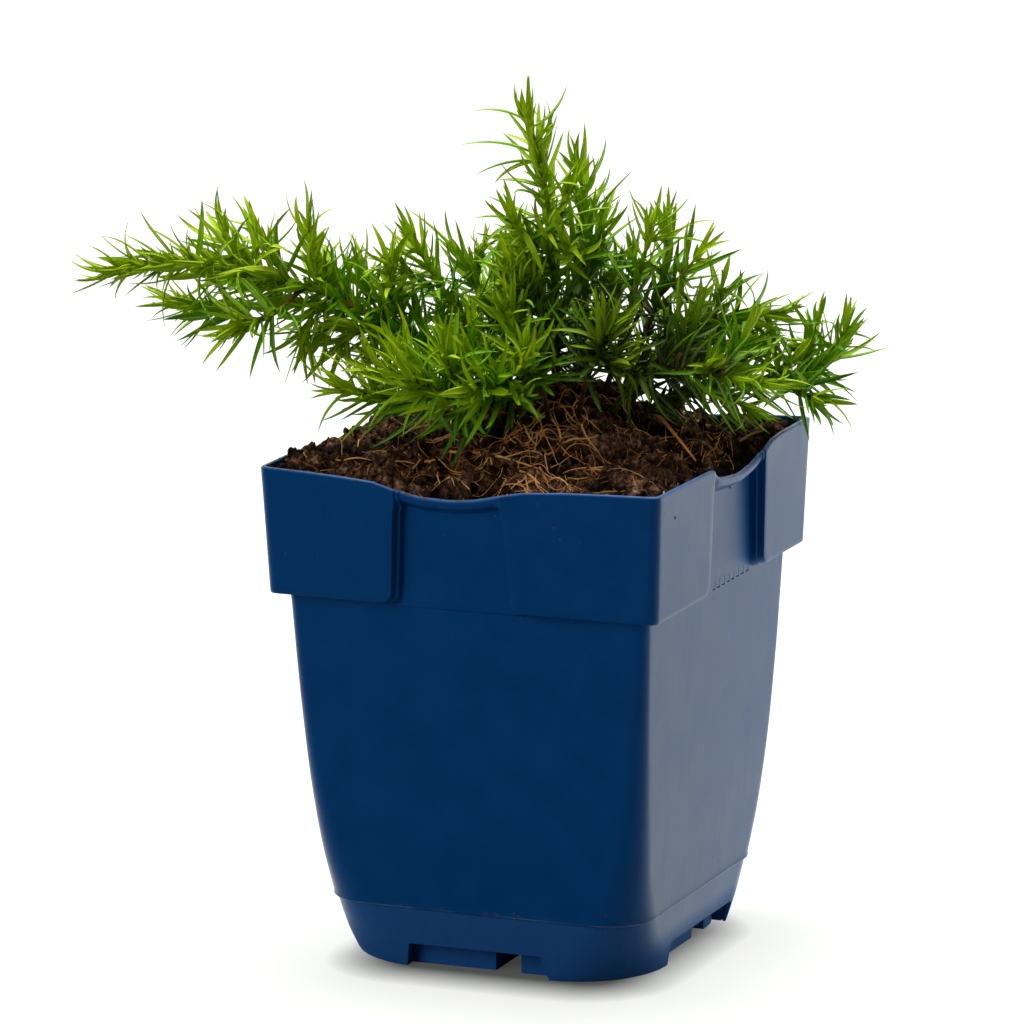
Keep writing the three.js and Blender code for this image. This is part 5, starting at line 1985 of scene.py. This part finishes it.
@dataclass
class Litter:
    """Loose crumbs, root fibres and bits of straw on the soil."""

    bed: PeatBed = field(default_factory=PeatBed)
    crumb_density: float = 125000.0
    crumb_size: Pair = (0.0003, 0.0014)
    crumb_roughness: float = 0.0009
    edge: float = 40.2
    stride: float = 1.1
    straw_steps: int = 8
    seed: int = 31

    def crumbs(self, soil: Piece) -> Piece:
        """Crumbs of peat scattered over the soil.

        Args:
            soil: The soil's mesh.

        Returns:
            The crumbs as one piece.
        """
        growth = Growth("scattered_crumbs")
        density, small, large, rough = (
            growth.ask(name) for name in ("Density", "Smallest", "Largest", "Roughness"))
        up = growth.add("GeometryNodeInputNormal").axis("Z")
        height = growth.add("GeometryNodeInputPosition").axis("Z")
        chosen = up.above(0.1).least(height.above(0.1005))
        spread = growth.add(
            "GeometryNodeDistributePointsOnFaces", {"distribute_method": "RANDOM"},
            {"Mesh": growth.source, "Selection": chosen, "Density": density, "Seed": 3}, "Points")
        ball = growth.add("GeometryNodeMeshIcoSphere", None, {"Radius": 1, "Subdivisions": 2}, "Mesh")
        size = small + (large - small) * growth.random(0, 1, 5) ** 3.6
        squash = growth.random((0.7, 0.55, 0.5), (1.35, 1, 0.85), 8)
        turn = growth.random((0, 0, 0), (6.28, 6.28, 6.28), 9)
        stones = growth.put(ball, Points=spread, Rotation=turn, Scale=squash.scaled(size))
        place = growth.add("GeometryNodeInputPosition")
        grains = {"Vector": place, "Scale": 900, "Detail": 2}
        lumpy = growth.add("ShaderNodeTexNoise", None, grains, "Color")
        push = lumpy.vector("SUBTRACT", (0.5, 0.5, 0.5)).scaled(rough)
        stones = growth.add("GeometryNodeSetPosition", None, {"Geometry": stones, "Offset": push})
        growth.close(growth.end(stones, Peat(dry=0.5).make("peat_crumbs")))
        crumbs = make_piece("peat_crumbs")
        crumbs.data = soil.data.copy()
        crumbs.data.materials.clear()
        growth.grow(crumbs, {
            "Density": self.crumb_density, "Smallest": self.crumb_size[0], "Largest": self.crumb_size[1],
            "Roughness": self.crumb_roughness,
        })
        settle(crumbs, 70)
        return crumbs

    def strand(self, start: Pair, way: float, length: float, lift: float, wave: float) -> Array:
        """A fibre that wanders over the soil.

        Args:
            start: Where it starts, seen from above.
            way: The direction in which it sets out, in degrees.
            length: Its length.
            lift: How far its middle stands off the soil.
            wave: How much it wanders, in degrees a millimetre.

        Returns:
            Its points in millimetres.
        """
        count = max(3, round(length / self.stride))
        x, y = start
        bend = uniform(-wave, wave)
        points = []
        for k in range(count + 1):
            share = k / count
            x, y = max(-self.edge, min(self.edge, x)), max(-self.edge, min(self.edge, y))
            rise = lift * sin(pi * share) ** 0.7
            points.append((x, y, self.bed.height(x, y) + 0.15 + rise))
            bend += uniform(-wave, wave) * 0.6
            bend *= 0.92
            way += bend * self.stride
            x += cos(way * TURN) * self.stride
            y += sin(way * TURN) * self.stride
        points = np.array(points)
        for _ in range(2):
            points[1:-1, 2] = (points[:-2, 2] + points[1:-1, 2] * 1.2 + points[2:, 2]) / 3.2
        return points

    def line(self, *ends: Sequence[float], rise: float = 0) -> Array:
        """A straw through the places given, which may stand off the soil."""
        ends = np.array(ends, float)
        shares = np.linspace(0, len(ends) - 1, self.straw_steps)
        points = np.array([[np.interp(s, range(len(ends)), ends[:, k]) for k in range(3)] for s in shares])
        points[:, 2] += rise * np.sin(np.linspace(0, pi, self.straw_steps))
        return points

    def fibres(self) -> Piece:
        """Roots, straws and fine fibres, tubed by Geometry Nodes."""
        dice.seed(self.seed)
        straws = (((20.2, 15.9, 113.6), (26, 9.4, 111.4), (36.4, -1.4, 107.4)),
                  ((-15.1, -16.1, 108.4), (-3.2, -19.7, 109), (10.1, -24.2, 108.2)))
        strands = [(self.line(*straws[0], rise=0.5), 0.42, 0.5), (self.line(*straws[1], rise=0.6), 0.3, 0.7)]
        for count, middle, spread, way, length, lift, wave, thickness, tone in (
            (34, (3.5, -13), (5, 3.6), (0, 360), (6, 15), (0.3, 2.2), 19, (0.1, 0.22), (0.4, 1)),
            (12, (9, 2.5), (2.4, 3.6), (200, 330), (6, 13), (0.6, 1.6), 9, (0.1, 0.2), (0.35, 0.8)),
            (420, (0, -12), (22, 15), (0, 360), (2, 6), (0.05, 0.6), 16, (0.05, 0.11), (0, 0.6)),
            (20, (10, -28), (3.6, 4.5), (-80, -20), (5, 12), (0.3, 1.3), 9, (0.07, 0.16), (0.4, 0.9)),
            (34, (33, 10), (4, 8.5), (60, 120), (4, 10), (0.3, 1.3), 6, (0.06, 0.14), (0.3, 0.8)),
            (130, (0, 0), (24, 24), (0, 360), (4, 17), (0.1, 1.1), 9, (0.06, 0.17), (0.1, 0.95)),
            (80, (-3, -28), (22, 8), (0, 360), (3, 12), (0.1, 0.9), 10, (0.06, 0.16), (0.1, 0.95)),
        ):
            for _ in range(count):
                x, y = dice.gauss(middle[0], spread[0]), dice.gauss(middle[1], spread[1])
                if max(abs(x), abs(y)) > 40:
                    continue
                sizes = (uniform(*pair) for pair in (way, length, lift))
                path = self.strand((x, y), *sizes, wave)
                strands.append((path, uniform(*thickness), uniform(*tone)))
        for start, end in (
            ((-33.2, -32.4), (-29.6, -30.5)), ((-23.8, -28), (-17.9, -25.7)), ((-26.4, -10.9), (-21.4, -4.1)),
            ((-15.8, -21.5), (-7.3, -36.9)), ((-7.1, -30.4), (-0.1, -37.8)), ((36.5, 24.4), (40.1, 30.1)),
            ((5.6, -24.1), (14.3, -34.3)), ((6.6, -23.1), (13.1, -33)), ((-30, -35.2), (-24.5, -33.4)),
        ):
            ends = [(x, y, self.bed.height(x, y) + 0.7) for x, y in (start, end)]
            path = self.line(*ends, rise=0.5)
            strands.append((path, uniform(0.18, 0.32), uniform(0.55, 0.95)))
        points, edges, thick, tint = [], [], [], []
        for path, radius, tone in strands:
            for k, point in enumerate(path):
                if k:
                    edges.append((len(points) - 1, len(points)))
                points.append(point)
                taper = 1 - 0.55 * (k / (len(path) - 1)) ** 2
                thick.append(radius * taper * MM)
                tint.append(tone)
        seed = make_piece("root_fibres", np.array(points) * MM, (), edges)
        carry(seed, "thick", thick)
        carry(seed, "tint", tint)
        growth = Growth("fibre_tube")
        tube = growth.tube(growth.source, growth.ask("Sides", "Int"))
        growth.close(growth.end(tube, Fibre().make()))
        growth.grow(seed, {"Sides": 5})
        settle(seed, 60)
        return seed


# The studio


@dataclass
class Studio:
    """A pale floor with a painted glow, a painted contact shadow and a painted reflection, soft light and the
    camera at the photograph's angle.
    """

    yaw: float = 22.92
    pitch: float = 12.27
    roll: float = -0.51
    place: Triple = (0.57756, -1.38133, 0.4189)
    lens: float = 251.47
    floor_size: float = 6.0
    # Floor tones for light that bounces off it, behind and in front, and the dim tone that the camera sees
    # under the painted glow.
    floor_behind: Triple = (0.9, 0.9, 0.9)
    floor_before: Triple = (0.2, 0.2, 0.2)
    floor_seen: Triple = (0.185, 0.205, 0.165)
    # The painted contact shadow: half width and corner of the footprint that it keeps dark, and its shift.
    footprint: Pair = (0.019, 0.009)
    shadow_shift: Triple = (0.003, -0.009, 0)
    mirrored: Triple = (1, 1, 0.84)
    sky: float = 0.46

    def camera(self) -> None:
        """The camera, at the photograph's angle."""
        yaw, pitch, roll = self.yaw * TURN, self.pitch * TURN, self.roll * TURN
        back = Vector((sin(yaw) * cos(pitch), -cos(yaw) * cos(pitch), sin(pitch)))
        right = Vector((cos(yaw), sin(yaw), 0))
        up = back.cross(right)
        right, up = right * cos(roll) + up * sin(roll), up * cos(roll) - right * sin(roll)
        data = bpy.data.cameras.new("camera")
        data.lens = self.lens
        data.sensor_width = 36
        data.sensor_fit = "HORIZONTAL"
        data.clip_end = 50
        holder = bpy.data.objects.new("camera", data)
        turn = Matrix((right, up, back)).transposed()
        holder.matrix_world = Matrix.Translation(self.place) @ turn.to_4x4()
        bpy.context.scene.collection.objects.link(holder)
        bpy.context.scene.camera = holder

    def floor(self) -> None:
        """The floor, which fades into the light round it: the camera sees a painted glow, held down round the
        pot as a painted contact shadow, and glossy rays see a painted glow that the pot shows as its
        reflection.
        """
        size = self.floor_size
        corners = np.array(((-size, -size, 0), (size, -size, 0), (size, size, 0), (-size, size, 0)))
        floor = make_piece("floor", corners, ((0, 1, 2, 3),))
        paint = Paint("floor")
        path = paint.add("ShaderNodeLightPath", out="Is Camera Ray")
        mirror = paint.add("ShaderNodeLightPath", out="Is Glossy Ray")
        # To light bouncing off it, the floor is darker in front of the pot than behind.
        behind = paint.place.axis("Y").span(-0.07, 0.06)
        # Painted contact shadow: the painted glow is held down round the pot's footprint, shifted towards the
        # front.
        half, corner = self.footprint
        outside = paint.place.vector("SUBTRACT", self.shadow_shift).vector("ABSOLUTE")
        outside = outside.vector("SUBTRACT", (half, half, 0)).vector("MAXIMUM", (0, 0, 0))
        away = outside.length() - corner
        # Painted light: the camera sees the floor glow white away from the pot.
        bright = 0.045 + away.span(-0.002, 0.0125) ** 1.1 * 0.75 + away.span(0.01, 0.08) * 0.2
        tone = paint.mix(path, paint.mix(behind, self.floor_before, self.floor_behind), self.floor_seen)
        shade = paint.add("ShaderNodeBsdfDiffuse", None, {"Color": tone})
        glow = {"Color": (1, 1, 0.99, 1), "Strength": path * bright}
        lift = paint.add("ShaderNodeEmission", None, glow)
        both = paint.add("ShaderNodeAddShader", None, {0: shade, 1: lift})
        # Painted reflection: glossy rays see the floor glow, dark under the pot and in front of it, brighter
        # to the sides and far behind.
        flat = paint.place.vector("MULTIPLY", (1, 1, 0))
        turned = (paint.place.axis("Y") / flat.length().most(0.01)).span(-0.9, -0.1)
        far = paint.place.axis("Y").span(0.36, 0.46)
        strength = (turned * 2.25 + far * 0.9) * away.span(-0.008, 0.002) + 0.004
        glow = paint.add("ShaderNodeEmission", None, {"Color": (*self.mirrored, 1), "Strength": strength})
        mixed = paint.add("ShaderNodeMixShader", None, {0: mirror, 1: both, 2: glow})
        paint.add("ShaderNodeOutputMaterial", None, {"Surface": mixed})
        floor.data.materials.append(paint.material)
        floor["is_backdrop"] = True

    def lamp(self, name: str, place: Triple, size: float, watts: float, gloss: bool = True) -> None:
        """A square soft box that faces the pot, and shows in its gloss or not.

        Args:
            name: Its name.
            place: Where it stands.
            size: Its width.
            watts: Its power.
            gloss: True where it shows.
        """
        data = bpy.data.lights.new(name, "AREA")
        data.shape = "SQUARE"
        data.size = size
        data.energy = watts
        holder = bpy.data.objects.new(name, data)
        holder.location = place
        aim = Vector((0, 0, 0.1)) - Vector(place)
        holder.rotation_euler = aim.to_track_quat("-Z", "Y").to_euler()
        holder.visible_glossy = gloss
        bpy.context.scene.collection.objects.link(holder)

    def light(self) -> None:
        """A bright room and three soft boxes."""
        world = bpy.data.worlds.new("studio")
        world.use_nodes = True
        graph = Graph(world.node_tree)
        graph.tree.nodes.clear()
        way = graph.add("ShaderNodeTexCoord", out="Generated")
        mirror = graph.add("ShaderNodeLightPath", out="Is Glossy Ray")
        camera = graph.add("ShaderNodeLightPath", out="Is Camera Ray")
        behind = way.axis("Y").span(-0.1, 0.45)
        soft = camera + (1 - camera) * (behind * self.sky + 0.03)
        turned = way.axis("Y").span(-0.7, 0.4) ** 1.4
        seen = (1 - mirror) * soft + mirror * (turned * 2.2 + 0.01)
        blue = 1 - mirror * (1 - self.mirrored[2])
        white = graph.add("ShaderNodeCombineColor", None, {"Red": 1, "Green": 1, "Blue": blue})
        sky = graph.add("ShaderNodeBackground", None, {"Color": white, "Strength": seen})
        graph.add("ShaderNodeOutputWorld", None, {"Surface": sky})
        bpy.context.scene.world = world
        self.lamp("overhead", (-0.15, 0.3, 1.3), 0.9, 24)
        self.lamp("front", (-0.9, -1.6, 0.8), 1.3, 15, gloss=False)
        self.lamp("right", (1.5, 0.5, 0.7), 1.1, 0.4)

    def build(self) -> None:
        """Sets the studio up."""
        scene = bpy.context.scene
        scene.view_settings.view_transform = "Standard"
        scene.view_settings.look = "None"
        self.camera()
        self.floor()
        self.light()


# The whole


def plain(value: object) -> object:
    """Numbers in nested plain lists."""
    return [plain(item) for item in value] if hasattr(value, "__len__") else float(value)


def main() -> None:
    """Builds the studio, the pot, the soil and the plant."""
    logging.basicConfig(level=logging.INFO, format="%(message)s")
    packed = plain(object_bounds())
    Studio().build()
    NurseryPot().build()
    bed = PeatBed()
    soil = bed.build()
    litter = Litter(bed)
    litter.crumbs(soil)
    litter.fibres()
    LeafyShoots(bed.ground).build()
    {"packed": packed, "dressed": plain(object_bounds())}


if __name__ == "__main__":
    main()
